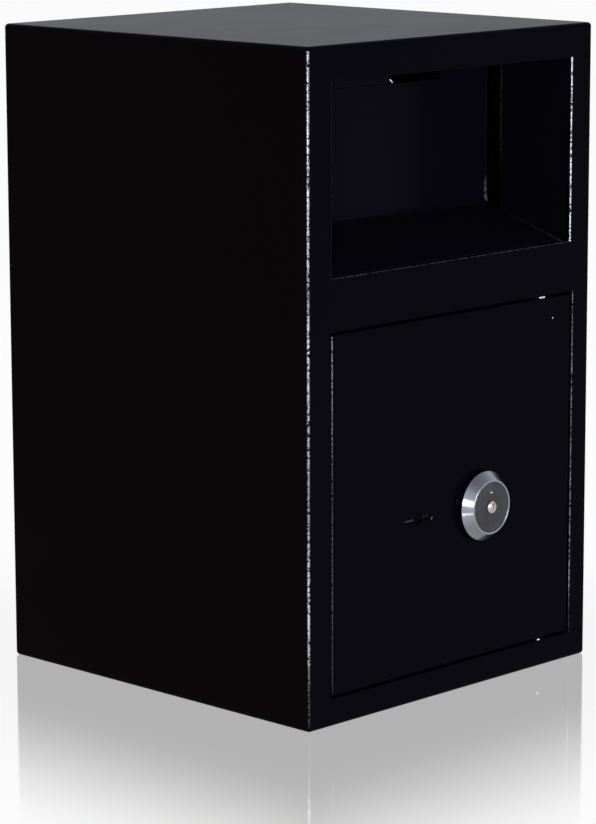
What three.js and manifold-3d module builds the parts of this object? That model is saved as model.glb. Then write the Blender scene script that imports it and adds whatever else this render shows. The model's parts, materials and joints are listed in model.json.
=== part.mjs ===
// Deposit safe: a steel box with an open deposit mouth above a locked door.
// Millimetres, +Z up, front towards -Y, origin at the middle of the base.

import * as THREE from 'three';
import { mergeVertices } from 'three/addons/utils/BufferGeometryUtils.js';
import { RoundedBoxGeometry } from 'three/addons/geometries/RoundedBoxGeometry.js';
import Module from 'manifold-3d';

const wasm = await Module();
wasm.setup();

// Sizes of the welded box
const height = 400;
const width = 252;
const depth = 260;
const wall = 3;
const frontWall = 4;
const edgeRadius = 2.5;

// Deposit mouth in the front, as the widths of the frame round it and a share of the height
const mouth = { leftFrame: 20, rightFrame: 19.4, topFrame: 20.8, tallShare: 0.282 };

// Doorway in the front, as the widths of the frame round it and a share of the height
const doorway = { leftFrame: 19, rightFrame: 16, bottomFrame: 16.8, tallShare: 0.5445 };

// Fits
const seatGap = 0.3;      // between two pieces that are seated on each other
const runGap = 0.4;       // between a turning or sliding piece and its guide
const overrun = 5;        // how far a cutting shape runs past what it cuts

// Door leaf and the gaps round it
const door = {
  plate: 4, setback: 0.5, gapLeft: 1.2, gapRight: 1.6, gapTop: 1.5, gapBottom: 1.5, edge: 0.8, tapDeep: 2.4,
};

// Concealed pivots of the door
const pivot = {
  fromDoorEdge: 24.2, behindDoor: 5, pinRadius: 3, pinLength: 9, bushWall: 1.5, washerRadius: 5.8,
  bracketThick: 5, bracketHalf: 15, bracketDeep: 18, stileWide: 10, stileDeep: 10, endGap: 0.3,
};

// Stop angle behind the left side of the door
const stop = { lipReach: 5, lipThick: 3, flangeDeep: 20, notchGap: 2, endGap: 2 };

// Knob, placed as shares of the width and height, its spindle and the crank
const knob = {
  xShare: 0.0984, zShare: 0.2815, stand: 0.6, backRadius: 19.6, bandHeight: 3.2, rimRadius: 21.5,
  rimHeight: 4.1, faceRadius: 16.6, faceHeight: 9.6, dishRadius: 15.7, dishDeep: 0.5, dotRadius: 1.1,
  dotDeep: 0.5, dotUp: 9, cover: 3.4,
};
const spindle = {
  radius: 5, collarRadius: 8, collarThick: 2, bushWall: 3, flangeWide: 2.6, flangeThick: 1.8,
};
const knobScrew = {
  headRadius: 4, headHigh: 1.6, shankRadius: 2, shankLong: 12,
  domeShares: [[0, 1], [0.55, 0.88], [0.88, 0.5], [1, 0]],
};
const crank = {
  throwRadius: 12, thick: 4, hubRadius: 9, pinRadius: 3, noseRadius: 6, halfTurnDegrees: 40, barGap: 0.8,
};

// Round bolts and the bar that carries them
const bolt = {
  radius: 6, long: 49.5, offDoor: 0.5, pitchShare: 0.596, tipInset: 6.3, chamfer: 1.2, screwRadius: 2.5,
  screwHead: 5, screwHeadThick: 2.5,
};
const bar = {
  thick: 3, limbWide: 20, limbOver: 11, tongueLow: 12.6, tongueHigh: 18, slotEnd: 2, sineGap: 0.5,
  combFront: 1, combThick: 3, combEnd: 6, combGap: 1.5, endShort: 0.6,
};
const guide = { wide: 8.8, tallHalf: 11, backWall: 3.4, fromTip: 0.3 };
const barStud = { fromCover: 22.2, radius: 3, headRadius: 5, headThick: 1.8 };

// Double-bit lever lock, its key axis level with the knob and placed as a share of the width
const lock = {
  xShare: -0.1222, caseWide: 68, caseLow: 28.6, caseHigh: 31.4, wall: 2, capThick: 2, barGap: 0.6,
  keySlotHalf: 12.3, keySlotTall: 3.8, keyRound: 4, screwInset: 3.6, bossHalf: 3, screwRadius: 1.8,
  screwHead: 2.8, screwHeadThick: 0.9,
};
const lockBolt = {
  thick: 2.8, wide: 36, low: 22.6, high: 17.4, windowHalf: 13.2, tailHalf: 4, proud: 2, stumpHalf: 1.5,
  stumpX: 10.8,
};
const lever = {
  count: 3, thick: 1.3, gap: 0.4, pivotZ: -18, bossRadius: 4.6, limbWide: 9, keyGap: 3.8, armTall: 7,
  armRight: 6.2, pinRadius: 1.8,
};

// Pressed cover over the lock and the bar
const cover = {
  sheet: 1.2, clear: 0.8, over: 7, flange: 10, backGap: 3.3, screwRadius: 2, screwHead: 3.8, headThick: 2,
  screwInset: 18,
};

// Fixed cheeks beside the deposit mouth
const cheek = { deep: 54.4, sheet: 2, bend: 3, below: 8 };

// Swinging deposit scoop and its hinge
const scoop = {
  sheet: 1.5, sideGap: 1.3, railGap: 0.4, backDepth: 66.5, slopeDegrees: 17, lipRise: 0.3, lipBend: 2.5,
  floorBend: 16, returnTall: 5, knuckleRadius: 4.5, axisBelowLip: 5.2, notchTall: 6,
};
const hinge = {
  rodRadius: 3, rodPast: 6, clipRadius: 5.5, clipThick: 1, bracketHalf: 58, knuckleLong: 26, web: 2,
  flange: 20, endGap: 2,
};
const spring = {
  wireRadius: 0.7, pitch: 2.4, turns: 14, coilGap: 0.9, legLong: 26, tailLong: 14, sides: 5,
  stepsPerTurn: 8,
};

// Fixed baffle under the scoop's back swing
const baffle = {
  sheet: 2, frontDepth: 86, frontBelow: 31.4, backBelow: 4.4, flangeTall: 14, lipTall: 5, teeth: 24,
  toothDeep: 3, bend: 3,
};

// Holes for floor anchors and their plugs
const anchor = { radius: 5, insetX: 50, insetY: 55, headRadius: 8, headThick: 2, bottomGap: 0.6 };

// How finely round shapes are divided
const sides = { large: 48, medium: 28, small: 16, arc: 6, edge: 3 };

// Planes and places that follow from the sizes
const frontY = -depth / 2;
const backY = depth / 2;
const insideX = width / 2 - wall;
const insideFront = frontY + frontWall;
const insideBack = backY - wall;
const ceilingZ = height - wall;
const mouthLeft = -width / 2 + mouth.leftFrame;
const mouthRight = width / 2 - mouth.rightFrame;
const mouthTop = height - mouth.topFrame;
const sillZ = mouthTop - mouth.tallShare * height;
const doorwayLeft = -width / 2 + doorway.leftFrame;
const doorwayRight = width / 2 - doorway.rightFrame;
const doorwayBottom = doorway.bottomFrame;
const doorwayTop = doorwayBottom + doorway.tallShare * height;
const doorLeft = doorwayLeft + door.gapLeft;
const doorRight = doorwayRight - door.gapRight;
const doorBottom = doorwayBottom + door.gapBottom;
const doorTop = doorwayTop - door.gapTop;
const doorFront = frontY + door.setback;
const doorBack = doorFront + door.plate;
const pivotX = doorRight - pivot.fromDoorEdge;
const pivotY = doorBack + pivot.behindDoor;
const boltY = doorBack + bolt.offDoor + bolt.radius;
const boltTip = doorLeft + bolt.tipInset;
const boltMidZ = (doorBottom + doorTop) / 2;
const boltPitch = bolt.pitchShare * (doorTop - doorBottom);
const fittingsZ = knob.zShare * height;
const knobX = knob.xShare * width;
const lockX = lock.xShare * width;
const barFront = boltY + bolt.radius + seatGap;
const barBack = barFront + bar.thick;
const halfTurn = THREE.MathUtils.degToRad(crank.halfTurnDegrees);
const barTravel = 2 * crank.throwRadius * Math.sin(halfTurn);
const barLeft = boltTip + bolt.long - bar.limbWide - bar.endShort;
const limbX = barLeft + bar.limbWide / 2;
const coverRight = pivotX - pivot.stileWide / 2 - cover.clear;
const studX = coverRight - cover.sheet - barStud.fromCover;
const bushRadius = spindle.radius + runGap + spindle.bushWall;
const scoopHalf = Math.min(-mouthLeft, mouthRight) - scoop.sideGap;
const scoopFrontY = frontY + scoop.backDepth;
const axisY = scoopFrontY + scoop.knuckleRadius;
const axisZ = mouthTop - scoop.axisBelowLip;
const springRadius = hinge.rodRadius + spring.coilGap + spring.wireRadius;

// Finishes
function finish(colour, roughness, metalness) {
  return new THREE.MeshStandardMaterial({ color: colour, roughness, metalness });
}
const enamel = finish(0x0c0c10, 0.22, 0.0);
const innerEnamel = finish(0x101116, 0.45, 0.0);
const chrome = finish(0xd8dade, 0.08, 1.0);
const zinc = finish(0xa9abab, 0.38, 1.0);
const blackSteel = finish(0x2a2a2c, 0.5, 0.8);
const brass = finish(0xb08d4a, 0.35, 1.0);
const springSteel = finish(0x8d8f92, 0.3, 1.0);
const plugPlastic = finish(0x161616, 0.7, 0.0);

// A closed three.js geometry as a solid that can be joined and cut
function toSolid(geometry) {
  const bare = geometry.clone();
  bare.deleteAttribute('normal');
  bare.deleteAttribute('uv');
  const welded = mergeVertices(bare);
  const corners = welded.index.array;
  const kept = [];
  for (let i = 0; i < corners.length; i += 3) {
    const [a, b, c] = [corners[i], corners[i + 1], corners[i + 2]];
    if (a !== b && b !== c && c !== a) kept.push(a, b, c);
  }
  const vertProperties = new Float32Array(welded.attributes.position.array);
  const triVerts = new Uint32Array(volumeOf(vertProperties, kept) < 0 ? kept.reverse() : kept);
  return new wasm.Manifold(new wasm.Mesh({ numProp: 3, vertProperties, triVerts }));
}

// Six times the volume inside a closed mesh, negative where its faces point inwards
function volumeOf(places, corners) {
  const [a, b, c] = [new THREE.Vector3(), new THREE.Vector3(), new THREE.Vector3()];
  let sum = 0;
  for (let i = 0; i < corners.length; i += 3) {
    a.fromArray(places, corners[i] * 3);
    b.fromArray(places, corners[i + 1] * 3);
    c.fromArray(places, corners[i + 2] * 3);
    sum += a.dot(b.cross(c));
  }
  return sum;
}

function inOrder(a, b) {
  return a < b ? [a, b] : [b, a];
}

function joined(first, ...others) {
  return others.reduce((all, one) => all.add(one), first);
}

function cut(blank, ...tools) {
  return tools.reduce((left, tool) => left.subtract(tool), blank);
}

// A block between two corners
function block(x0, x1, y0, y1, z0, z1) {
  const shape = new THREE.BoxGeometry(x1 - x0, y1 - y0, z1 - z0);
  shape.translate((x0 + x1) / 2, (y0 + y1) / 2, (z0 + z1) / 2);
  return toSolid(shape);
}

// A flat outline given a thickness along one axis: drawn in x and z for y, y and z for x, x and y for z
const outlineFrames = {
  x: [[0, 1, 0], [0, 0, 1], [1, 0, 0]],
  y: [[1, 0, 0], [0, 0, 1], [0, -1, 0]],
  z: [[1, 0, 0], [0, 1, 0], [0, 0, 1]],
};
function prism(axis, outline, from, to) {
  const shape = new THREE.ExtrudeGeometry(outline, {
    depth: to - from, bevelEnabled: false, curveSegments: sides.arc,
  });
  const [u, v, w] = outlineFrames[axis].map((column) => new THREE.Vector3(...column));
  shape.applyMatrix4(new THREE.Matrix4().makeBasis(u, v, w));
  const start = axis === 'y' ? to : from;
  shape.translate(axis === 'x' ? start : 0, axis === 'y' ? start : 0, axis === 'z' ? start : 0);
  return toSolid(shape);
}

// A round bar along one axis, between two places on that axis
function roundBar(axis, radius, from, to, a, b, count = sides.small) {
  const shape = new THREE.CylinderGeometry(radius, radius, to - from, count);
  const middle = (from + to) / 2;
  if (axis === 'x') shape.rotateZ(Math.PI / 2).translate(middle, a, b);
  if (axis === 'y') shape.translate(a, middle, b);
  if (axis === 'z') shape.rotateX(Math.PI / 2).translate(a, b, middle);
  return toSolid(shape);
}

// A turned piece from a list of radius and place along its axis, which is y or x
function turned(profile, count = sides.medium, axis = 'y') {
  const shape = new THREE.LatheGeometry(profile.map(([radius, y]) => new THREE.Vector2(radius, y)), count);
  if (axis === 'x') shape.rotateZ(-Math.PI / 2);
  return toSolid(shape);
}

function polygon(points) {
  return new THREE.Shape(points.map(([x, y]) => new THREE.Vector2(x, y)));
}

// A slot with round ends along x
function slotOutline(x0, x1, y, radius) {
  const outline = new THREE.Shape();
  outline.absarc(x1 - radius, y, radius, -Math.PI / 2, Math.PI / 2, false);
  outline.absarc(x0 + radius, y, radius, Math.PI / 2, Math.PI * 1.5, false);
  outline.closePath();
  return outline;
}

// The line of a bent sheet: corner points, with a bend radius at each inner corner
function bentLine(corners, radii) {
  const line = [new THREE.Vector2(...corners[0])];
  for (let i = 1; i < corners.length - 1; i += 1) {
    const at = new THREE.Vector2(...corners[i]);
    const before = new THREE.Vector2(...corners[i - 1]).sub(at).normalize();
    const after = new THREE.Vector2(...corners[i + 1]).sub(at).normalize();
    const half = before.angleTo(after) / 2;
    const reach = radii[i - 1] / Math.tan(half);
    const toMiddle = before.clone().add(after).normalize();
    const middle = toMiddle.multiplyScalar(radii[i - 1] / Math.sin(half)).add(at);
    const start = before.multiplyScalar(reach).add(at).sub(middle);
    const end = after.multiplyScalar(reach).add(at).sub(middle);
    const sweep = Math.atan2(start.cross(end), start.dot(end));
    for (let k = 0; k <= sides.arc; k += 1) {
      line.push(start.clone().rotateAround(new THREE.Vector2(), (sweep * k) / sides.arc).add(middle));
    }
  }
  line.push(new THREE.Vector2(...corners[corners.length - 1]));
  return line;
}

// The section of a sheet of even thickness that follows a line
function sheetOutline(line, thickness) {
  const left = [];
  const right = [];
  line.forEach((point, i) => {
    const into = point.clone().sub(line[Math.max(i - 1, 0)]);
    const out = line[Math.min(i + 1, line.length - 1)].clone().sub(point);
    if (i === 0) into.copy(out);
    if (i === line.length - 1) out.copy(into);
    into.normalize();
    out.normalize();
    const along = into.clone().add(out).normalize();
    const reach = thickness / 2 / along.dot(into);
    left.push(new THREE.Vector2(point.x - along.y * reach, point.y + along.x * reach));
    right.push(new THREE.Vector2(point.x + along.y * reach, point.y - along.x * reach));
  });
  return new THREE.Shape([...left, ...right.reverse()]);
}

const safe = new THREE.Group();
const doorGroup = new THREE.Group();
const knobGroup = new THREE.Group();
const lockGroup = new THREE.Group();
const depositGroup = new THREE.Group();
knobGroup.position.set(knobX, doorFront, fittingsZ);
lockGroup.position.set(lockX, doorBack, fittingsZ);
depositGroup.position.set(0, axisY, axisZ);
doorGroup.add(knobGroup, lockGroup);
safe.add(doorGroup, depositGroup);

// A finished solid becomes one named mesh in its group
function addPiece(group, name, solid, material) {
  const { vertProperties, triVerts } = solid.getMesh();
  const geometry = new THREE.BufferGeometry();
  geometry.setAttribute('position', new THREE.BufferAttribute(new Float32Array(vertProperties), 3));
  geometry.setIndex(new THREE.BufferAttribute(new Uint32Array(triVerts), 1));
  geometry.computeVertexNormals();
  const mesh = new THREE.Mesh(geometry, material);
  mesh.name = name;
  group.add(mesh);
  return mesh;
}

// Welded box: every plate is a slice of one rounded block
function boxSlice(x0, x1, y0, y1, z0, z1) {
  const whole = new RoundedBoxGeometry(width, depth, height, sides.edge, edgeRadius);
  whole.translate(0, 0, height / 2);
  return toSolid(whole).intersect(block(x0, x1, y0, y1, z0, z1));
}

function makeBox() {
  const [frontCut, backCut] = [frontY - overrun, insideFront + overrun];
  const front = boxSlice(-width, width, frontCut, insideFront, -overrun, height + overrun);
  const mouthCut = block(mouthLeft, mouthRight, frontCut, backCut, sillZ, mouthTop);
  const doorCut = block(doorwayLeft, doorwayRight, frontCut, backCut, doorwayBottom, doorwayTop);
  addPiece(safe, 'front_frame', cut(front, mouthCut, doorCut), enamel);
  const back = boxSlice(-width, width, insideBack, backY + overrun, -overrun, height + overrun);
  addPiece(safe, 'back_panel', back, enamel);
  const top = boxSlice(-width, width, insideFront, insideBack, ceilingZ, height + overrun);
  addPiece(safe, 'top_panel', top, enamel);
  const holes = anchorPlaces().map(([x, y]) => (
    roundBar('z', anchor.radius, -overrun, wall + overrun, x, y)
  ));
  const base = boxSlice(-width, width, insideFront, insideBack, -overrun, wall);
  addPiece(safe, 'base_panel', cut(base, ...holes), enamel);
  for (const [name, side] of [['left_side_panel', -1], ['right_side_panel', 1]]) {
    const [near, far] = inOrder(side * insideX, (side * width) / 2);
    addPiece(safe, name, block(near, far, insideFront, insideBack, wall, ceilingZ), enamel);
  }
}

function anchorPlaces() {
  const [x, y] = [width / 2 - anchor.insetX, depth / 2 - anchor.insetY];
  return [[-x, -y], [x, -y], [-x, y], [x, y]];
}

function makeAnchorPlugs() {
  anchorPlaces().forEach(([x, y], i) => {
    const [seat, top] = [wall + seatGap, wall + seatGap + anchor.headThick];
    const stem = roundBar('z', anchor.radius - seatGap, anchor.bottomGap, top, x, y);
    const head = roundBar('z', anchor.headRadius, seat, top, x, y);
    addPiece(safe, `anchor_plug_${i + 1}`, joined(stem, head), plugPlastic);
  });
}

// Cheeks: a sheet flush with the side of the mouth, bent outwards behind it to the side of the box
function makeCheeks() {
  const half = cheek.sheet / 2;
  const endY = insideFront + cheek.deep - half;
  for (const [name, side, edge] of [['left_cheek', -1, mouthLeft], ['right_cheek', 1, mouthRight]]) {
    const x = edge + side * half;
    const line = bentLine([[x, insideFront], [x, endY], [side * insideX, endY]], [cheek.bend - half]);
    const sheet = prism('z', sheetOutline(line, cheek.sheet), sillZ - cheek.below, ceilingZ);
    addPiece(safe, name, sheet, innerEnamel);
  }
}

// Stop angle: a lip behind the door's left edge, notched where the bolts pass
function makeStopAngle() {
  const lipY = doorBack + seatGap;
  const lipBack = lipY + stop.lipThick;
  const lipEnd = doorwayLeft + stop.lipReach;
  const flangeEnd = stop.lipThick - insideX;
  const [low, high] = [doorwayBottom + stop.endGap, doorwayTop - stop.endGap];
  const lip = block(-insideX, lipEnd, lipY, lipBack, low, high);
  const flange = block(-insideX, flangeEnd, lipY, lipY + stop.flangeDeep, low, high);
  const half = bolt.radius + stop.notchGap;
  const [notchFront, notchBack] = [lipY - overrun, lipBack + overrun];
  const notches = boltPlaces().map((z) => (
    block(flangeEnd, lipEnd + overrun, notchFront, notchBack, z - half, z + half)
  ));
  addPiece(safe, 'door_stop_angle', cut(joined(lip, flange), ...notches), innerEnamel);
}

// Pivots: bracket and bush in the frame, stile, pin and washer on the door
function makePivots() {
  const boreRadius = pivot.pinRadius + runGap;
  const bushRadius = boreRadius + pivot.bushWall;
  const upright = (radius, from, to) => (
    roundBar('z', radius, ...inOrder(from, to), pivotX, pivotY, sides.medium)
  );
  const stileEnds = [doorBottom + pivot.endGap, doorTop - pivot.endGap];
  const places = [['lower', -1, doorwayBottom, stileEnds[0]], ['upper', 1, doorwayTop, stileEnds[1]]];
  for (const [place, out, edge, stileEnd] of places) {
    const far = edge + out * pivot.bracketThick;
    const bore = upright(boreRadius, edge - out * overrun, far + out * overrun);
    const plate = block(pivotX - pivot.bracketHalf, pivotX + pivot.bracketHalf, insideFront,
      insideFront + pivot.bracketDeep, ...inOrder(edge, far));
    const seat = upright(bushRadius + seatGap, edge - out * overrun, far + out * overrun);
    addPiece(safe, `pivot_bracket_${place}`, cut(plate, seat), innerEnamel);
    addPiece(safe, `pivot_bush_${place}`, cut(upright(bushRadius, edge + out * seatGap, far), bore), brass);
    const washerEnd = edge - out * (door.gapBottom - 2 * seatGap);
    const washer = upright(pivot.washerRadius, edge - out * seatGap, washerEnd);
    addPiece(safe, `thrust_washer_${place}`, cut(washer, bore), zinc);
    const pin = upright(pivot.pinRadius, stileEnd + out * seatGap, stileEnd + out * pivot.pinLength);
    addPiece(doorGroup, `pivot_pin_${place}`, pin, zinc);
  }
  const half = pivot.stileWide / 2;
  const stile = block(pivotX - half, pivotX + half, doorBack, doorBack + pivot.stileDeep, ...stileEnds);
  addPiece(doorGroup, 'hinge_stile', stile, innerEnamel);
}

// The keyhole: a flat slot with a round middle, through whatever lies between two depths
function keyhole(from, to, x, z) {
  const half = lock.keySlotTall / 2;
  const slot = prism('y', slotOutline(x - lock.keySlotHalf, x + lock.keySlotHalf, z, half), from, to);
  return joined(slot, roundBar('y', lock.keyRound, from, to, x, z, sides.medium));
}

// A screw along Y: its point, the seat of its head, and its sizes
function screwSolid(shank, head, headThick, point, seat, x, z) {
  return joined(roundBar('y', shank, point, seat, x, z),
    roundBar('y', head, seat, seat + headThick, x, z));
}

function lockScrewPlaces() {
  const x = lock.caseWide / 2 - lock.screwInset;
  const [low, high] = [lock.screwInset - lock.caseLow, lock.caseHigh - lock.screwInset];
  return [[-x, low], [x, low], [-x, high], [x, high]];
}

function coverSpan() {
  const left = barLeft - barTravel - cover.clear - cover.sheet;
  const half = boltPitch / 2 + bar.limbOver + cover.over;
  return { left, right: coverRight, low: boltMidZ - half, high: boltMidZ + half };
}

function coverScrewPlaces() {
  const { left, right, low, high } = coverSpan();
  const [x0, x1] = [left + cover.screwInset, right - cover.screwInset];
  const [z0, z1] = [low - cover.flange / 2, high + cover.flange / 2];
  return [[x0, z0], [x1, z0], [x0, z1], [x1, z1]];
}

function boltPlaces() {
  return [boltMidZ - boltPitch / 2, boltMidZ + boltPitch / 2];
}

function makeDoorPlate() {
  const [wide, tall] = [doorRight - doorLeft, doorTop - doorBottom];
  const blank = new RoundedBoxGeometry(wide, door.plate, tall, sides.edge, door.edge);
  blank.translate((doorLeft + doorRight) / 2, (doorFront + doorBack) / 2, (doorBottom + doorTop) / 2);
  const [front, back] = [doorFront - overrun, doorBack + overrun];
  const spindleHole = bushRadius + seatGap;
  const taps = [
    ...lockScrewPlaces().map(([x, z]) => [x + lockX, z + fittingsZ, lock.screwRadius]),
    ...coverScrewPlaces().map(([x, z]) => [x, z, cover.screwRadius]),
    [studX, fittingsZ, barStud.radius],
  ].map(([x, z, radius]) => roundBar('y', radius + seatGap, doorBack - door.tapDeep, back, x, z));
  const solid = cut(toSolid(blank), keyhole(front, back, lockX, fittingsZ),
    roundBar('y', spindleHole, front, back, knobX, fittingsZ, sides.medium), ...taps);
  addPiece(doorGroup, 'door_plate', solid, enamel);
}

// Knob on its spindle: local origin on the knob axis, in the door's front face, heights towards -Y
function makeKnob() {
  const boreEnd = knob.faceHeight - knob.cover;
  const dishFloor = knob.faceHeight - knob.dishDeep;
  const blank = turned([
    [0, -knob.stand], [0, -dishFloor], [knob.dishRadius, -dishFloor], [knob.dishRadius, -knob.faceHeight],
    [knob.faceRadius, -knob.faceHeight], [knob.rimRadius, -knob.rimHeight],
    [knob.rimRadius, -knob.bandHeight], [knob.backRadius, -knob.bandHeight], [knob.backRadius, -knob.stand],
    [0, -knob.stand],
  ], sides.large);
  const dot = roundBar('y', knob.dotRadius, -knob.faceHeight, knob.dotDeep - dishFloor, 0, knob.dotUp);
  const bore = roundBar('y', spindle.radius + seatGap, -boreEnd, overrun, 0, 0, sides.medium);
  const screwHoleRadius = knobScrew.shankRadius + seatGap;
  const screwHole = roundBar('y', screwHoleRadius, -knob.faceHeight - overrun, overrun, 0, 0);
  addPiece(knobGroup, 'knob', cut(blank, dot, bore, screwHole), chrome);

  const seat = -dishFloor - seatGap;
  const shankEnd = seat + knobScrew.shankLong;
  const dome = knobScrew.domeShares.map(([wide, high]) => [wide * knobScrew.headRadius,
    seat - high * knobScrew.headHigh]);
  const screw = turned([...dome, [knobScrew.shankRadius, seat], [knobScrew.shankRadius, shankEnd],
    [0, shankEnd]], sides.small);
  addPiece(knobGroup, 'knob_screw', screw, zinc);

  const flangeBack = door.plate + spindle.flangeThick;
  const collarFront = flangeBack + runGap;
  const collarBack = collarFront + spindle.collarThick;
  const rearEnd = barFront - crank.barGap - doorFront;
  const shaft = turned([
    [0, seatGap - boreEnd], [spindle.radius, seatGap - boreEnd], [spindle.radius, collarFront],
    [spindle.collarRadius, collarFront], [spindle.collarRadius, collarBack], [spindle.radius, collarBack],
    [spindle.radius, rearEnd], [0, rearEnd],
  ]);
  const tapped = roundBar('y', screwHoleRadius, -knob.faceHeight, shankEnd + seatGap, 0, 0);
  addPiece(knobGroup, 'knob_spindle', cut(shaft, tapped), zinc);

  const bushBore = spindle.radius + runGap;
  const flangeRadius = bushRadius + spindle.flangeWide;
  const flangeFront = door.plate + seatGap;
  const bush = turned([
    [bushBore, seatGap], [bushRadius, seatGap], [bushRadius, flangeFront], [flangeRadius, flangeFront],
    [flangeRadius, flangeBack], [bushBore, flangeBack], [bushBore, seatGap],
  ]);
  addPiece(knobGroup, 'spindle_bush', bush, brass);
  makeCrank(rearEnd);
}

// Crank: its pin leans to the right at rest, and to the left when the bolts are thrown
function makeCrank(back) {
  const front = back - crank.thick;
  const pinEnd = back + crank.barGap + bar.thick + seatGap;
  const [sine, cosine] = [Math.sin(halfTurn), Math.cos(halfTurn)];
  const [pinX, pinZ] = [crank.throwRadius * sine, crank.throwRadius * cosine];
  const [acrossX, acrossZ] = [crank.noseRadius * cosine, -crank.noseRadius * sine];
  const web = polygon([[-acrossX, -acrossZ], [acrossX, acrossZ], [pinX + acrossX, pinZ + acrossZ],
    [pinX - acrossX, pinZ - acrossZ]]);
  const whole = joined(
    roundBar('y', crank.hubRadius, front, back, 0, 0, sides.medium),
    roundBar('y', crank.noseRadius, front, back, pinX, pinZ, sides.medium),
    prism('y', web, front, back),
    roundBar('y', crank.pinRadius, front, pinEnd, pinX, pinZ, sides.medium),
  );
  const bore = roundBar('y', spindle.radius + seatGap, front - overrun, back + overrun, 0, 0, sides.medium);
  addPiece(knobGroup, 'drive_crank', cut(whole, bore), zinc);
}

// Bolt bar: one plate behind the lock, with a limb for the bolts, a tongue to the crank and a comb
// over the lock bolt, notched for it at both ends of the travel
function makeBoltBar() {
  const [front, back] = [barFront - overrun, barBack + overrun];
  const limbHalf = boltPitch / 2 + bar.limbOver;
  const limbRight = barLeft + bar.limbWide;
  const limb = block(barLeft, limbRight, barFront, barBack, boltMidZ - limbHalf, boltMidZ + limbHalf);
  const studHalf = barStud.radius + runGap;
  const studEnd = studX + barTravel + studHalf + seatGap;
  const [tongueLow, tongueHigh] = [fittingsZ - bar.tongueLow, fittingsZ + bar.tongueHigh];
  const tongue = block(barLeft, studEnd + bar.slotEnd, barFront, barBack, tongueLow, tongueHigh);
  const combLow = fittingsZ + lock.caseHigh + lockBolt.proud + bar.combGap;
  const combTop = combLow + bar.combThick;
  const notchHalf = lockBolt.tailHalf + 2 * runGap;
  const combLeft = lockX - notchHalf - bar.combEnd;
  const combRight = lockX + barTravel + notchHalf + bar.combEnd;
  const riser = block(combLeft, combRight, barFront, barBack, fittingsZ, combTop);
  const comb = block(combLeft, combRight, doorBack + bar.combFront, barBack, combLow, combTop);
  const notchBack = doorBack + lock.wall + seatGap + lockBolt.thick + 2 * runGap;
  const [notchLow, notchTop] = [combLow - overrun, combTop + overrun];
  const notches = [lockX, lockX + barTravel].map((x) => (
    block(x - notchHalf, x + notchHalf, doorBack, notchBack, notchLow, notchTop)
  ));
  const pinX = knobX + crank.throwRadius * Math.sin(halfTurn);
  const pinHalf = crank.pinRadius + bar.sineGap;
  const pinSlot = block(pinX - pinHalf, pinX + pinHalf, front, back,
    fittingsZ + crank.throwRadius * Math.cos(halfTurn) - pinHalf, fittingsZ + crank.throwRadius + pinHalf);
  const studSlotLine = slotOutline(studX - studHalf - seatGap, studEnd, fittingsZ, studHalf);
  const studSlot = prism('y', studSlotLine, front, back);
  const screwHole = bolt.screwRadius + seatGap;
  const screwHoles = boltPlaces().map((z) => roundBar('y', screwHole, front, back, limbX, z));
  const plate = cut(joined(limb, tongue, riser, comb), ...notches, pinSlot, studSlot, ...screwHoles);
  addPiece(doorGroup, 'bolt_bar', plate, zinc);

  const studFront = doorBack - door.tapDeep + seatGap;
  const shoulder = barBack + seatGap;
  const stud = screwSolid(barStud.radius, barStud.headRadius, barStud.headThick, studFront, shoulder, studX,
    fittingsZ);
  addPiece(doorGroup, 'bar_guide_stud', stud, zinc);
}

function makeBolts() {
  ['lower', 'upper'].forEach((place, i) => {
    const z = boltPlaces()[i];
    const profile = [[0, 0], [bolt.radius - bolt.chamfer, 0], [bolt.radius, bolt.chamfer],
      [bolt.radius, bolt.long], [0, bolt.long]];
    const tapRadius = bolt.screwRadius + seatGap;
    const tapped = roundBar('y', tapRadius, -seatGap, bolt.radius + overrun, limbX - boltTip, 0);
    const solid = cut(turned(profile, sides.medium, 'x'), tapped);
    addPiece(doorGroup, `bolt_${place}`, solid, chrome).position.set(boltTip, boltY, z);
    const seat = barBack + seatGap;
    const screw = screwSolid(bolt.screwRadius, bolt.screwHead, bolt.screwHeadThick, boltY, seat, limbX, z);
    addPiece(doorGroup, `bolt_screw_${place}`, screw, blackSteel);

    const x0 = boltTip + guide.fromTip;
    const x1 = x0 + guide.wide;
    const room = bolt.radius + runGap;
    const saddleBack = boltY + room + guide.backWall;
    const saddle = block(x0, x1, doorBack, saddleBack, z - guide.tallHalf, z + guide.tallHalf);
    const bore = roundBar('x', room, x0 - overrun, x1 + overrun, boltY, z, sides.medium);
    const open = block(x0 - overrun, x1 + overrun, doorBack - overrun, boltY, z - room, z + room);
    addPiece(doorGroup, `bolt_guide_${place}`, cut(saddle, bore, open), innerEnamel);
  });
}

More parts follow.
